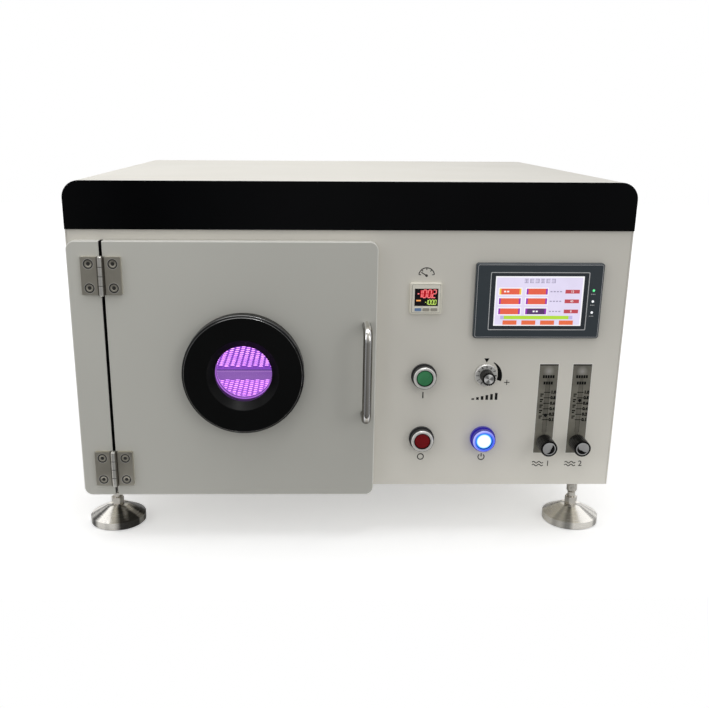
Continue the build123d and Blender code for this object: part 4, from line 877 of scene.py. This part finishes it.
class Piece:
    """Gathers closed solids into one mesh, each with one of the piece's materials."""

    def __init__(self, name, body, slot, *materials):
        self.name = name
        self.body = body
        self.slot = slot
        self.materials = materials
        self.work = bmesh.new()

    def vertex(self, x, y, z):
        return self.work.verts.new((x * MM, y * MM, z * MM))

    def skin(self, loops, material=0, closed=False):
        """Quads between neighbouring loops, and a cap on each end unless the row of loops is closed."""
        rings = [[self.vertex(*point) for point in loop] for loop in loops]
        pairs = list(zip(rings, rings[1:]))
        if closed:
            pairs.append((rings[-1], rings[0]))
        faces = []
        for one, two in pairs:
            for number in range(len(one)):
                after = (number + 1) % len(one)
                faces.append(self.work.faces.new((one[number], one[after], two[after], two[number])))
        if not closed:
            faces += [self.work.faces.new(rings[0]), self.work.faces.new(rings[-1])]
        for face in faces:
            face.material_index = material
        bmesh.ops.recalc_face_normals(self.work, faces=faces)

    def slab(self, outline, y_front, y_back, material=0):
        """A flat shape in X and Z between two depths."""
        self.skin([[(x, y, z) for x, z in outline] for y in (y_front, y_back)], material)

    def block(self, x_span, y_span, z_span):
        self.slab(rectangle(x_span, z_span), *y_span)

    def mark(self, x_span, z_span, y_front, material=0):
        """A printed bar."""
        self.slab(rectangle(x_span, z_span), y_front, y_front + INK, material)

    def band(self, outer, inner, y_front, y_back, material=0):
        """A flat frame between two outlines with as many points."""
        sides = ((outer, y_front), (inner, y_front), (inner, y_back), (outer, y_back))
        self.skin([[(x, y, z) for x, z in outline] for outline, y in sides], material, closed=True)

    def turned(self, profile, centre, material=0, closed=True, count=64):
        """Turn a (radius, y) profile about a line along Y."""
        self.skin([circle(centre, y, radius, count) for radius, y in profile], material, closed)

    def stroke(self, points, width, y_front, material=0):
        """A printed line through points in X and Z."""
        left, right = [], []
        for number, (x, z) in enumerate(points):
            before = points[max(number - 1, 0)]
            after = points[min(number + 1, len(points) - 1)]
            along = Vector((after[0] - before[0], after[1] - before[1])).normalized()
            shift = Vector((-along.y, along.x)) * width / 2
            left.append((x + shift.x, z + shift.y))
            right.append((x - shift.x, z - shift.y))
        self.slab(left + right[::-1], y_front, y_front + INK, material)

    def words(self, text, size, x, z, y_front, material=0, turn=0.0, bold=0.0):
        """Raised print of a plain number or sign, centred on x and z."""
        curve = bpy.data.curves.new(self.name + "_print", "FONT")
        curve.body = text
        curve.size = size * MM
        curve.extrude = INK * MM / 2
        curve.align_x = curve.align_y = "CENTER"
        curve.resolution_u = 3
        curve.offset = bold * MM
        holder = bpy.data.objects.new(self.name + "_print", curve)
        mesh = bpy.data.meshes.new_from_object(holder)
        place = Matrix.Translation(Vector((x, y_front + INK / 2, z)) * MM)
        mesh.transform(place @ Matrix.Rotation(turn, 4, "Y") @ Matrix.Rotation(pi / 2, 4, "X"))
        start = len(self.work.faces)
        self.work.from_mesh(mesh)
        self.work.faces.ensure_lookup_table()
        for face in self.work.faces[start:]:
            face.material_index = material
        bpy.data.objects.remove(holder)
        bpy.data.curves.remove(curve)
        bpy.data.meshes.remove(mesh)

    def done(self, smooth=35.0):
        mesh = bpy.data.meshes.new(self.name)
        self.work.to_mesh(mesh)
        self.work.free()
        for material in self.materials:
            mesh.materials.append(MATERIALS[material])
        holder = bpy.data.objects.new(self.name, mesh)
        bpy.context.collection.objects.link(holder)
        if smooth:
            mesh.polygons.foreach_set("use_smooth", [True] * len(mesh.polygons))
            mesh.set_sharp_from_angle(angle=radians(smooth))
        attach(holder, self.body)
        return holder


def socket_screw(piece, centre, y, radius, socket, rise, facing=-1):
    """A screw head with a hexagon socket, standing rise proud of y towards facing."""
    edge = 0.25
    top = y + facing * rise
    shoulder = top - facing * edge
    piece.skin([
        circle(centre, y - facing * 0.8, radius), circle(centre, shoulder, radius), circle(centre, top, radius - edge),
        circle(centre, top, socket / 2 * 1.35), hexagon(centre, shoulder, socket),
        hexagon(centre, y - facing * 1.6, socket),
    ])


# The door

def hinge_screws():
    """Socket screws in the leaves, each in a dark seat with a pale rim, and painted shade as a dark hexagon in each
    socket.
    """
    front = DOOR_Y - LEAF_THICKNESS
    half = HINGE_SCREW_SPACING / 2
    for side, name, body in ((-1, "frame", "cabinet"), (1, "door", "door")):
        node = "hinge_" + name + "_leaves"
        piece = Piece("hinge_screws_" + name, body, "stainless_brushed", "screw_steel", "screw_seat", "seat_rim")
        for z in (high(node).z - LEAF_HALF, low(node).z + LEAF_HALF):
            for centre in (spot(middle("hinge_pins").x + side * half, z + end * half) for end in (-1, 1)):
                socket_screw(piece, centre, front + 0.3, HINGE_SCREW_RADIUS - 0.5, 3.6, 0.2)
                for outer, inner, rise, material in ((5.75, 5.2, 0.10, 2), (5.25, HINGE_SCREW_RADIUS - 0.7, 0.05, 1)):
                    seat = [(outer, front + 0.2), (outer, front - rise), (inner, front - rise), (inner, front + 0.2)]
                    piece.turned(seat, centre, material, count=32)
                # Painted shade: a dark hexagon in the socket.
                piece.slab(flat(hexagon(centre, front, 3.7, 12)), front + 0.10, front + 0.14, 1)
        piece.done()


def hinge_joints():
    """The dark lines between the knuckles of each hinge."""
    piece = Piece("hinge_joints", "cabinet", "stainless_brushed", "screw_seat")
    pin = middle("hinge_pins")
    top, bottom = high("hinge_frame_leaves"), low("hinge_frame_leaves")
    knuckle = (top.x - low("hinge_door_leaves").x) / 2
    outer, inner = knuckle + 0.06, knuckle - 0.24
    for centre_z in (top.z - LEAF_HALF, bottom.z + LEAF_HALF):
        for z in (centre_z + step * LEAF_HALF / 2 for step in (-1, 0, 1)):
            loops = []
            for radius, rise in ((outer, -0.3), (outer, 0.3), (inner, 0.3), (inner, -0.3)):
                ring = circle(spot(pin.x, bottom.y + knuckle), 0, radius, 32)
                loops.append([(x, y, z + rise) for x, y in flat(ring)])
            piece.skin(loops, closed=True)
    piece.done()


def window_ring_edge():
    """A thin polished metal line on the ring's front edge, put there to catch a highlight."""
    ring_low, ring_high = low("window_ring"), high("window_ring")
    rim = (ring_high.x - ring_low.x) / 2
    chamfer, line, out = 2.5, 0.35, 0.04
    piece = Piece("window_ring_edge", "door", "ring_black", "edge_steel")
    for radius, y in ((rim - line, ring_low.y + chamfer - line), (rim - chamfer, ring_low.y)):
        far = radius + line
        profile = [(radius, y - out), (far, y + line - out), (far - out, y + line), (radius - out, y)]
        piece.turned(profile, middle("window_ring"), count=96)
    piece.done()


def window_liner():
    """The wall of the door's opening and the seat behind the glass, a lining that carries the glow painted on as
    emission.
    """
    outer, inner, seat = 30.97, 30.7, 33.95
    front, back = high("window_gasket").y - 0.12, high("door_plate").y
    step = front + 0.08
    piece = Piece("window_liner", "door", "ring_black", "lit_up_rim")
    profile = [(seat, front), (inner, front), (inner, back), (outer, back), (outer, step), (seat, step)]
    piece.turned(profile, middle("window_glass"))
    piece.done()


# The trays

def perforated_tray(node):
    """The tray's sheet with staggered round holes, plain margins and folded lips."""
    box_low, box_high, centre = low(node), high(node), middle(node)
    top = box_high.z
    under = top - TRAY_SHEET
    columns = int((box_high.x - box_low.x - 2 * TRAY_MARGIN) / HOLE_COLUMN)
    holes = int((box_high.y - box_low.y - 2 * TRAY_MARGIN) / HOLE_PITCH)
    x_start, x_end = (centre.x + side * columns * HOLE_COLUMN / 2 for side in (-1, 1))
    y_start, y_end = (centre.y + side * holes * HOLE_PITCH / 2 for side in (-1, 1))
    piece = Piece(node + "_sheet", "cabinet", "tray_metal", "tray_metal", "hole_edge")
    outline = cell_outline()
    shared = {}

    def corner(x, y, z):
        key = (round(x, 3), round(y, 3), round(z, 3))
        if key not in shared:
            shared[key] = piece.vertex(x, y, z)
        return shared[key]

    for column in range(columns):
        x = x_start + (column + 0.5) * HOLE_COLUMN
        shift = column % 2
        for number in range(holes - shift):
            y = y_start + (number + 0.5 + shift / 2) * HOLE_PITCH
            pierced_cell(piece, corner, outline, x, y, top, under)
        if shift:
            half = HOLE_PITCH / 2
            for y_low in (y_start, y_end - half):
                piece.block((x - HOLE_COLUMN / 2, x + HOLE_COLUMN / 2), (y_low, y_low + half), (under, top))
    for x_span, y_span in (
        ((box_low.x, x_start), (box_low.y, box_high.y)), ((x_end, box_high.x), (box_low.y, box_high.y)),
        ((x_start, x_end), (box_low.y, y_start)), ((x_start, x_end), (y_end, box_high.y)),
    ):
        piece.block(x_span, y_span, (under, top))
    for y_low in (box_low.y, box_high.y - TRAY_SHEET):
        lip = (box_low.x + TRAY_LIP, box_high.x - TRAY_LIP)
        piece.block(lip, (y_low, y_low + TRAY_SHEET), (box_low.z, under))
    tray = piece.done(smooth=0)
    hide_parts(node)


def cell_outline():
    """The edge of one hole's cell, round its middle."""
    half_x, half_y = HOLE_COLUMN / 2, HOLE_PITCH / 2
    side = [tick * half_y / 2 for tick in (-2, -1, 0, 1, 2)]
    end = [step * half_x / 2 for step in (-1, 0, 1)]
    outline = [(-half_x, y) for y in reversed(side)] + [(x, -half_y) for x in end]
    return outline + [(half_x, y) for y in side] + [(x, half_y) for x in reversed(end)]


def pierced_cell(piece, corner, outline, x, y, top, bottom):
    """The sheet round one hole, with the hole's wall in the second material."""
    rings = []
    for z in (top, bottom):
        rings.append([corner(x + dx, y + dy, z) for dx, dy in outline])
        scales = [HOLE_RADIUS / hypot(dx, dy) for dx, dy in outline]
        rings.append([corner(x + dx * scale, y + dy * scale, z) for (dx, dy), scale in zip(outline, scales)])
    outer_up, inner_up, outer_down, inner_down = rings
    for number in range(len(outline)):
        after = (number + 1) % len(outline)
        piece.work.faces.new((outer_up[number], outer_up[after], inner_up[after], inner_up[number]))
        piece.work.faces.new((outer_down[after], outer_down[number], inner_down[number], inner_down[after]))
        wall = piece.work.faces.new((inner_up[number], inner_up[after], inner_down[after], inner_down[number]))
        wall.material_index = 1


# Buttons and knobs

def button_rings():
    """Bright front rings on the three bezels, and the lit collar of the power button."""
    rim, well, bevel, bright, rise = 13.0, 9.4, 1.8, 12.3, 0.15
    front = low("button_bezels").y
    side = front + bright - rim + bevel
    profile = [
        (well, front + 0.4), (well, front - rise), (rim - bevel, front - rise), (bright + rise / 2, side - rise),
        (bright, side + rise / 2), (rim - bevel, front), (well + rise, front), (well + rise, front + 0.4),
    ]
    collar = [
        (bright + rise, side), (rim + rise, front + bevel), (rim + rise, PANEL_Y - 4.2), (14.15, PANEL_Y - 4.2),
        (14.15, PANEL_Y), (14.0, PANEL_Y), (14.0, PANEL_Y - 4.0), (rim, PANEL_Y - 4.0), (rim, front + bevel),
        (bright, side + rise),
    ]
    for name in ("start", "stop", "power"):
        cap = middle(name + "_button_cap")
        metal = "blue_rim" if name == "power" else "satin_ring"
        piece = Piece(name + "_button_ring", "cabinet", "chrome_trim", metal, "blue_ring")
        piece.turned(profile, cap)
        if name == "power":
            piece.turned(collar, cap, 1)
        piece.done()


def power_knob_trim():
    """A bright numbered skirt and a spun cap on the fluted grip."""
    centre = middle("power_knob")
    front = low("power_knob").y
    skirt_front = PANEL_Y - 3.0
    rim, rise = 12.5, 0.12
    skirt = Piece("power_knob_skirt", "power_knob", "knob_black", "skirt_metal", "scale_ink")
    skirt.turned([
        (7.4, skirt_front), (7.4, skirt_front - rise), (rim - 0.9, skirt_front - rise),
        (rim + rise, skirt_front + 0.9), (rim + rise, skirt_front + 2.1), (rim, skirt_front + 2.1),
        (rim, skirt_front + 1.0), (rim - 1.0, skirt_front),
    ], centre)
    face = skirt_front - rise - INK
    for number in range(11):
        angle = 30 * number - 150
        skirt.words(str(number), 3.3, *clock(centre, 9.5, angle), face, 1, turn=radians(angle), bold=0.08)
        skirt.stroke([clock(centre, 11.0, angle), clock(centre, 11.7, angle)], 0.45, face, 1)
    skirt.done()
    cap = Piece("power_knob_cap", "power_knob", "knob_black", "spun_metal")
    profile = [(5.4, front + 0.2), (5.4, front - 0.1), (5.0, front - 0.35), (1.2, front - 0.15), (0.3, front - 0.3)]
    cap.turned(profile, centre, closed=False)
    cap.done()


def flow_knobs():
    """Bright caps with a tapered dark crescent, on fluted grips."""
    for side, turn in (("left", 35.0), ("right", 130.0)):
        node = "flow_knob_" + side
        centre = middle(node)
        front = low(node).y
        piece = Piece("flow_knob_face_" + side, node, "knob_black", "cap_silver", "scale_ink")
        profile = [(7.15, front + 0.3), (7.15, front - 0.1), (6.85, front - 0.25), (0.5, front - 0.25)]
        piece.turned(profile, centre, closed=False)
        face = front - 0.25 - INK
        crescent = wedge(centre, turn, turn + 175, 6.1, lambda share: 4.3 * sin(pi * share ** 0.8) + 0.05, 28)
        piece.slab(crescent, face, face + INK, 1)
        piece.done()
        grip = Piece("flow_knob_grip_" + side, node, "knob_black", "knob_black")
        back = PANEL_Y - 5.0
        loops = []
        for reach, y in ((8.75, front + 0.1), (9.0, front + 0.1), (9.3, front + 0.5), (9.3, back), (8.75, back)):
            loop = []
            for angle in (2 * pi * number / 96 for number in range(96)):
                radius = reach - (0.28 * abs(sin(12 * angle)) if reach > 9.1 else 0)
                loop.append((centre.x + radius * cos(angle), y, centre.z + radius * sin(angle)))
            loops.append(loop)
        grip.skin(loops, closed=True)
        grip.done()


# Print on the panel

def panel_print():
    """Signs and marks printed on the panel beside the controls."""
    piece = Piece("panel_print", "cabinet", "cabinet_paint", "ink", "scale_ink")
    y = PANEL_Y - INK
    knob = middle("power_knob")
    crescent = wedge(knob + spot(0, -1.4), 27, 109, 18.0, lambda share: 0.9 + 6.3 * share)
    piece.slab(crescent, y, PANEL_Y, 1)
    triangle = [(knob.x - 2.8, knob.z + 19.0), (knob.x, knob.z + 14.2), (knob.x + 2.8, knob.z + 19.0)]
    piece.slab(triangle, y, PANEL_Y, 1)
    plus, arm = knob + spot(23.8, -8.6), 3.0
    piece.stroke([(plus.x - arm, plus.z), (plus.x + arm, plus.z)], 0.8, y)
    piece.stroke([(plus.x, plus.z - arm), (plus.x, plus.z + arm)], 0.8, y)
    for number in range(6):
        left, bottom = knob.x + (number - 3) * 5.2 + 1.1, knob.z - 29.0
        piece.mark((left, left + 2.9), (bottom, bottom + 1.8 + number * 1.25), y)
    line, drop = 1.1, 19.0
    start = middle("start_button_cap") + spot(0, -drop)
    piece.stroke([(start.x, start.z), (start.x, start.z - 7.2)], line * 1.2, y)
    ring_print(piece, middle("stop_button_cap") + spot(0, -drop - 3.6), 3.4, line, y)
    power = middle("power_button_cap") + spot(0, -drop - 3.9)
    piece.stroke(arc(power, 3.5, 38, 322), line, y)
    piece.stroke([(power.x, power.z + 4.5), (power.x, power.z + 0.3)], line, y)
    gauge_print(piece, spot(middle("pressure_display_bezel").x, high("pressure_display_bezel").z + 7.1), y)
    for number, side in (("1", "left"), ("2", "right")):
        meter = spot(middle("flow_meter_" + side).x, low("flow_meter_" + side).z - 13.5)
        flow_print(piece, meter.x - 4.2, meter.z, y)
        piece.words(number, 9.5, meter.x + 7.4, meter.z, y)
    piece.done(smooth=0)


def ring_print(piece, centre, radius, line, y):
    outer, inner = (flat(circle(centre, 0, radius + side * line / 2, 40)) for side in (1, -1))
    piece.band(outer, inner, y, y + INK)


def gauge_print(piece, base, y):
    """A small dial with ticks and a needle."""
    radius = 8.4
    piece.stroke(arc(base, radius, -82, 82), 0.95, y)
    for angle in (-82, -41, 0, 41, 82):
        piece.stroke([clock(base, radius - 2.4, angle), clock(base, radius, angle)], 0.8, y)
    piece.stroke([(base.x, base.z), clock(base, radius - 1.6, -58)], 1.0, y)
    ring_print(piece, base, 0.9, 0.9, y)


def flow_print(piece, x, z, y):
    """Two wavy lines for a stream."""
    for level in (-1.7, 1.7):
        shares = [step / 24 for step in range(25)]
        points = [(x + (share - 0.5) * 12.5, z + level + 1.05 * sin(4 * pi * share)) for share in shares]
        piece.stroke(points, 0.95, y)


# The pressure display

SEGMENTS = {"0": "abcdef", "1": "bc", "2": "abged"}


def segment_digit(piece, sign, x, z, width, height, y, material):
    """One seven-segment digit, leaning a little, with its lower left corner at x and z."""
    line, lean, half = height * 0.115, 0.10, height / 2
    bars = {
        "a": ((0, height), (width, height)), "b": ((width, height), (width, half)),
        "c": ((width, half), (width, 0)), "d": ((0, 0), (width, 0)), "e": ((0, half), (0, 0)),
        "f": ((0, height), (0, half)), "g": ((0, half), (width, half)),
    }
    for name in SEGMENTS[sign]:
        start, end = (Vector(point) for point in bars[name])
        gap = (end - start).normalized() * line * 0.35
        points = [(x + point.x + point.y * lean, z + point.y) for point in (start + gap, end - gap)]
        piece.stroke(points, line, y, material)


def segment_number(piece, text, right, z, height, y, material):
    """A row of digits that ends at right; a full stop sits between two digits."""
    width = height * 0.42
    pitch = width * 1.46
    dot = height * 0.14
    x = right - width
    for sign in reversed(text):
        if sign == "-":
            level = z + height / 2
            minus = [(x + pitch - 0.1 * width, level), (x + pitch + 0.42 * width, level)]
            piece.stroke(minus, height * 0.15, y, material)
        elif sign == ".":
            left = x + width * 1.16
            piece.mark((left, left + dot), (z - dot / 2, z + dot / 2), y, material)
        else:
            segment_digit(piece, sign, x, z, width, height, y, material)
            x -= pitch


def pressure_display_face():
    """The dark field with its red and green numbers, the keys under it and a painted shadow line along the seam round
    it.
    """
    body = middle("pressure_display_body")
    front = PANEL_Y - 5.0
    left, right = body.x - 12.4, body.x + 12.9
    piece = Piece("pressure_display_face", "cabinet", "screen_glass", "gauge_dark", "digit_red", "digit_lime",
                  "digit_orange", "key_blue", "key_grey", "digit_glow", "seam_grey")
    floor = front + 0.6
    piece.slab(rectangle((left, right), (body.z - 7.8, body.z + 11.1)), floor - 0.3, floor)
    y = floor - 0.3 - 2 * INK
    piece.mark((left + 5.8, right - 5.2), (body.z + 1.5, body.z + 9.4), y + INK, 6)
    segment_number(piece, "-100.2", right - 3.0, body.z + 1.3, 8.4, y, 1)
    segment_number(piece, "-100.0", right - 2.4, body.z - 6.2, 5.0, y, 2)
    piece.mark((left + 1.8, left + 6.6), (body.z - 2.6, body.z - 1.1), y, 3)
    for number, material in ((-1, 4), (0, 5), (1, 5)):
        key = round_rectangle(body + spot(number * 8.6, -11.6), 7.2, 3.2, 0.8)
        piece.slab(key, front - 0.62, front - 0.45, material)
    # Painted shadow: a dark line along the seam between bezel and body.
    size = high("pressure_display_body").x - low("pressure_display_body").x
    seams = ((size + 0.7, 1.4), (size + 0.1, 1.1))
    outer, inner = (round_rectangle(body, side, side, radius) for side, radius in seams)
    bezel = low("pressure_display_bezel").y
    piece.band(outer, inner, bezel - 0.05, bezel + 0.2, 7)
    piece.done(smooth=0)


# The touch screen

SCREEN_COLOURS = ["back", "white", "red", "violet", "plum", "lime", "lilac", "rose", "amber", "grey", "orange"]
KEY_ROWS = ((0.635, 0.755), (0.44, 0.56), (0.235, 0.355))
KEY_COLUMNS = ((0.048, 0.295), (0.355, 0.595))


def screen_picture():
    """The lit screen with plain key areas; the sides of its bars are shares of its width and height."""
    glass = middle("touch_screen_glass")
    width, height = SCREEN_SIZE
    x0, z0 = glass.x + SCREEN_SHIFT[0] - width / 2, glass.z + SCREEN_SHIFT[1] - height / 2
    front = low("touch_screen_glass").y - INK
    piece = Piece("touch_screen_picture", "cabinet", "screen_glass", *("screen_" + name for name in SCREEN_COLOURS))
    piece.mark((x0, x0 + width), (z0, z0 + height), front)

    def bar(colour, left, right, bottom, top, layer=1):
        x_span, z_span = (x0 + left * width, x0 + right * width), (z0 + bottom * height, z0 + top * height)
        piece.mark(x_span, z_span, front - layer * INK, SCREEN_COLOURS.index(colour))

    for sides in ((0, 1, 0.975, 1), (0, 1, 0, 0.02), (0, 0.012, 0, 1), (0.985, 1, 0, 1)):
        bar("white", *sides)
    for column, (left, right) in enumerate(KEY_COLUMNS):
        for row, (bottom, top) in enumerate(KEY_ROWS):
            bar("white", left - 0.01, right + 0.01, bottom - 0.018, top + 0.018)
            bar("amber" if (column, row) == (0, 0) else "violet", left, right, bottom, top, 2)
            bar("plum" if (column, row) == (1, 2) else "red", left + 0.02, right - 0.02, bottom, top, 3)
    for number, (bottom, top) in zip((12, 40, 8), KEY_ROWS):
        level = (bottom + top) / 2
        bar("rose", 0.795, 0.958, bottom + 0.022, top - 0.022, 2)
        piece.words(str(number), 3.4, x0 + 0.875 * width, z0 + level * height, front - 4 * INK, 1)
        for left in (0.625 + step * 0.036 for step in range(4)):
            bar("grey", left, left + 0.024, level - 0.012, level + 0.012)
    for left, bottom in ((0.10, 0.68), (0.135, 0.68), (0.44, 0.28), (0.475, 0.28)):
        bar("white", left, left + 0.022, bottom, bottom + 0.03, 4)
    for number in range(6):
        left = 0.325 + number * 0.061
        for bottom in (0.865, 0.90, 0.935):
            bar("grey", left, left + 0.046, bottom, bottom + 0.015)
        spine = left + (0.018, 0.003, 0.036)[number % 3]
        bar("grey", spine, spine + 0.009, 0.865, 0.95)
    bar("lilac", 0.075, 0.90, 0.135, 0.205)
    bar("lime", 0.115, 0.855, 0.135, 0.205, 2)
    for left in (0.105, 0.32, 0.535, 0.75):
        bar("orange", left, left + 0.16, 0.02, 0.11, 2)
    piece.done(smooth=0)


def screen_frame():
    """The bright line round the glass, a painted highlight along the body's edge, and three small lamps."""
    glass, body = middle("touch_screen_glass"), middle("touch_screen_body")
    glass_size = high("touch_screen_glass") - low("touch_screen_glass")
    body_size = high("touch_screen_body") - low("touch_screen_body")
    front, bezel = low("touch_screen_glass").y, low("touch_screen_body").y
    line = Piece("touch_screen_line", "cabinet", "slate_plastic", "slate_line", "slate_dark")

    def outline(centre, size, grow, radius):
        return round_rectangle(centre, size.x + grow, size.z + grow, radius)

    line.band(outline(glass, glass_size, 1.2, 1.2), outline(glass, glass_size, -0.4, 0.9), bezel - 0.15, bezel + 0.3)
    # Painted highlight: a pale line along the body's edge.
    line.band(outline(body, body_size, -3.0, 2.0), outline(body, body_size, -3.7, 1.7), bezel - 0.08, bezel + 0.2)
    window = round_rectangle(glass + spot(*SCREEN_SHIFT), *SCREEN_SIZE, 0.1)
    line.band(outline(glass, glass_size, -0.2, 0.6), window, front - 0.5 * INK, front, 1)
    line.done()

    lamps = Piece("touch_screen_lamps", "cabinet", "screen_glass", "led_green", "led_white", "slate_line")
    dome = [(1.3, bezel + 0.1), (1.3, bezel - 0.15), (0.9, bezel - 0.45), (0.2, bezel - 0.55)]
    for material, rise in ((0, 12.0), (1, 0.1), (1, -12.0)):
        lamp = glass + spot(58.6, rise)
        lamps.turned(dome, lamp, material, closed=False, count=24)
        for left in (lamp.x + (mark - 1.5) * 1.7 for mark in range(3)):
            lamps.mark((left, left + 1.1), (lamp.z - 4.4, lamp.z - 3.6), bezel - INK, 2)
    lamps.done()


# The flow meters

def flow_scales():
    """Ticks and plain numbers printed on the clear blocks, and a painted highlight along the edge of each cut-out."""
    y = PANEL_Y - 1.0 - INK
    for side in ("left", "right"):
        node, float_node = "flow_meter_" + side, "flow_float_" + side
        centre, size, bore = middle(node), high(node) - low(node), middle(float_node)
        piece = Piece("flow_scale_" + side, "cabinet", "acrylic", "scale_ink")
        step = 6.48
        for number, mark in enumerate(("1.0", "0.8", "0.6", "0.4", "0.2", "0.1")):
            z = BASE_Z + 111.4 - number * step
            piece.stroke([(centre.x - 3.6, z), (centre.x + 3.4, z)], 0.85, y)
            piece.words(mark, 4.8, centre.x + 6.9, z, y, bold=0.32)
            if number < 5:
                for tick, length_x in ((z - step / 3, 3.6), (z - 2 * step / 3, 2.4)):
                    piece.stroke([(centre.x - 7.6, tick), (centre.x - 7.6 + length_x, tick)], 1.35, y)
        for x in (centre.x - 2.3, centre.x + 2.1):
            piece.stroke([(x, BASE_Z + 124.0), (x, BASE_Z + 64.0)], 0.28, y)
        for row, marks in ((BASE_Z + 122.2, 4), (BASE_Z + 129.6, 5)):
            for left in (centre.x + (mark - marks / 2) * 2.7 + 0.3 for mark in range(marks)):
                piece.mark((left, left + 2.1), (row - 1.7, row + 1.7), y)
        piece.done(smooth=0)
        backing = Piece("flow_backing_" + side, "cabinet", "acrylic", "pale_backing")
        back = high(float_node).y + 0.2
        backing.block((bore.x - 1.8, bore.x + 1.8), (back, back + 0.2), (BASE_Z + 64.0, high(node).z - 16.0))
        backing.done(smooth=0)
        dark = Piece("flow_float_shade_" + side, float_node, "float_black", "scale_ink")
        points = ((0, -2.3), (1.75, -0.9), (1.75, 1.2), (0, 1.9), (-1.75, 1.2), (-1.75, -0.9))
        dark.slab([(bore.x + x, bore.z + z) for x, z in points], y - 0.06, y - 0.02)
        dark.done(smooth=0)
        # Painted highlight: a pale band along the cut-out's edge.
        edge = Piece("flow_edge_" + side, "cabinet", "cabinet_paint", "edge_paint")
        outer, inner = (centred(centre, size.x + rim, size.z + rim) for rim in (1.6, 0.1))
        edge.band(outer, inner, PANEL_Y - 0.3, PANEL_Y + 0.2)
        edge.done(smooth=0)


# Feet and rear

def foot_threads():
    """A fine thread on each stem between its neck and the cabinet's floor."""
    count = 24
    root, crest = THREAD_RADIUS - 0.02, THREAD_RADIUS + THREAD_HEIGHT
    section = [(root, -0.42), (crest, -0.08), (crest, 0.08), (root, 0.42)]
    for corner in CORNERS:
        node = "foot_stem_" + corner
        stem = middle(node)
        piece = Piece("foot_thread_" + corner, node, "stainless_polished", "stem_steel")
        loops = []
        for turn in (step / count for step in range(THREAD_TURNS * count + 1)):
            angle = 2 * pi * turn
            loops.append([(stem.x + radius * cos(angle), stem.y + radius * sin(angle),
                           THREAD_START + (turn + rise) * THREAD_PITCH) for radius, rise in section])
        piece.skin(loops)
        piece.done()


def rear_fasteners():
    """Socket screws round the rear panel, and the fan's, the guard's and the inlet's own."""
    piece = Piece("rear_screws", "cabinet", "stainless_brushed", "chrome_trim")
    panel, fan, inlet = low("rear_panel"), middle("fan_housing"), middle("mains_inlet")
    size = high("rear_panel") - panel
    edge = 8.0
    places = []
    for share in (0.04, 0.35, 0.65, 0.96):
        places += [panel + spot(share * size.x, z) for z in (edge, size.z - edge)]
    for share in (0.35, 0.68):
        places += [panel + spot(x, share * size.z) for x in (edge, size.x - edge)]
    places += [fan + spot(x, z) * FAN_SCREW_PITCH for x in (-1, 1) for z in (-1, 1)]
    for place in places:
        socket_screw(piece, place, REAR_Y, 3.0, 2.5, 1.6, facing=1)
    for side in (-1, 1):
        socket_screw(piece, inlet + spot(side * 20.0, 0), REAR_Y + 3.0, 2.6, 2.0, 1.0, facing=1)
    piece.done()


def build():
    dress_nodes()
    hinge_screws()
    hinge_joints()
    window_ring_edge()
    perforated_tray("tray_upper")
    perforated_tray("tray_lower")
    window_liner()
    button_rings()
    power_knob_trim()
    flow_knobs()
    panel_print()
    pressure_display_face()
    screen_picture()
    screen_frame()
    flow_scales()
    foot_threads()
    rear_fasteners()


make_camera()
make_world()
make_floor()
make_lamps()
bpy.context.scene.view_settings.view_transform = "Standard"
build()
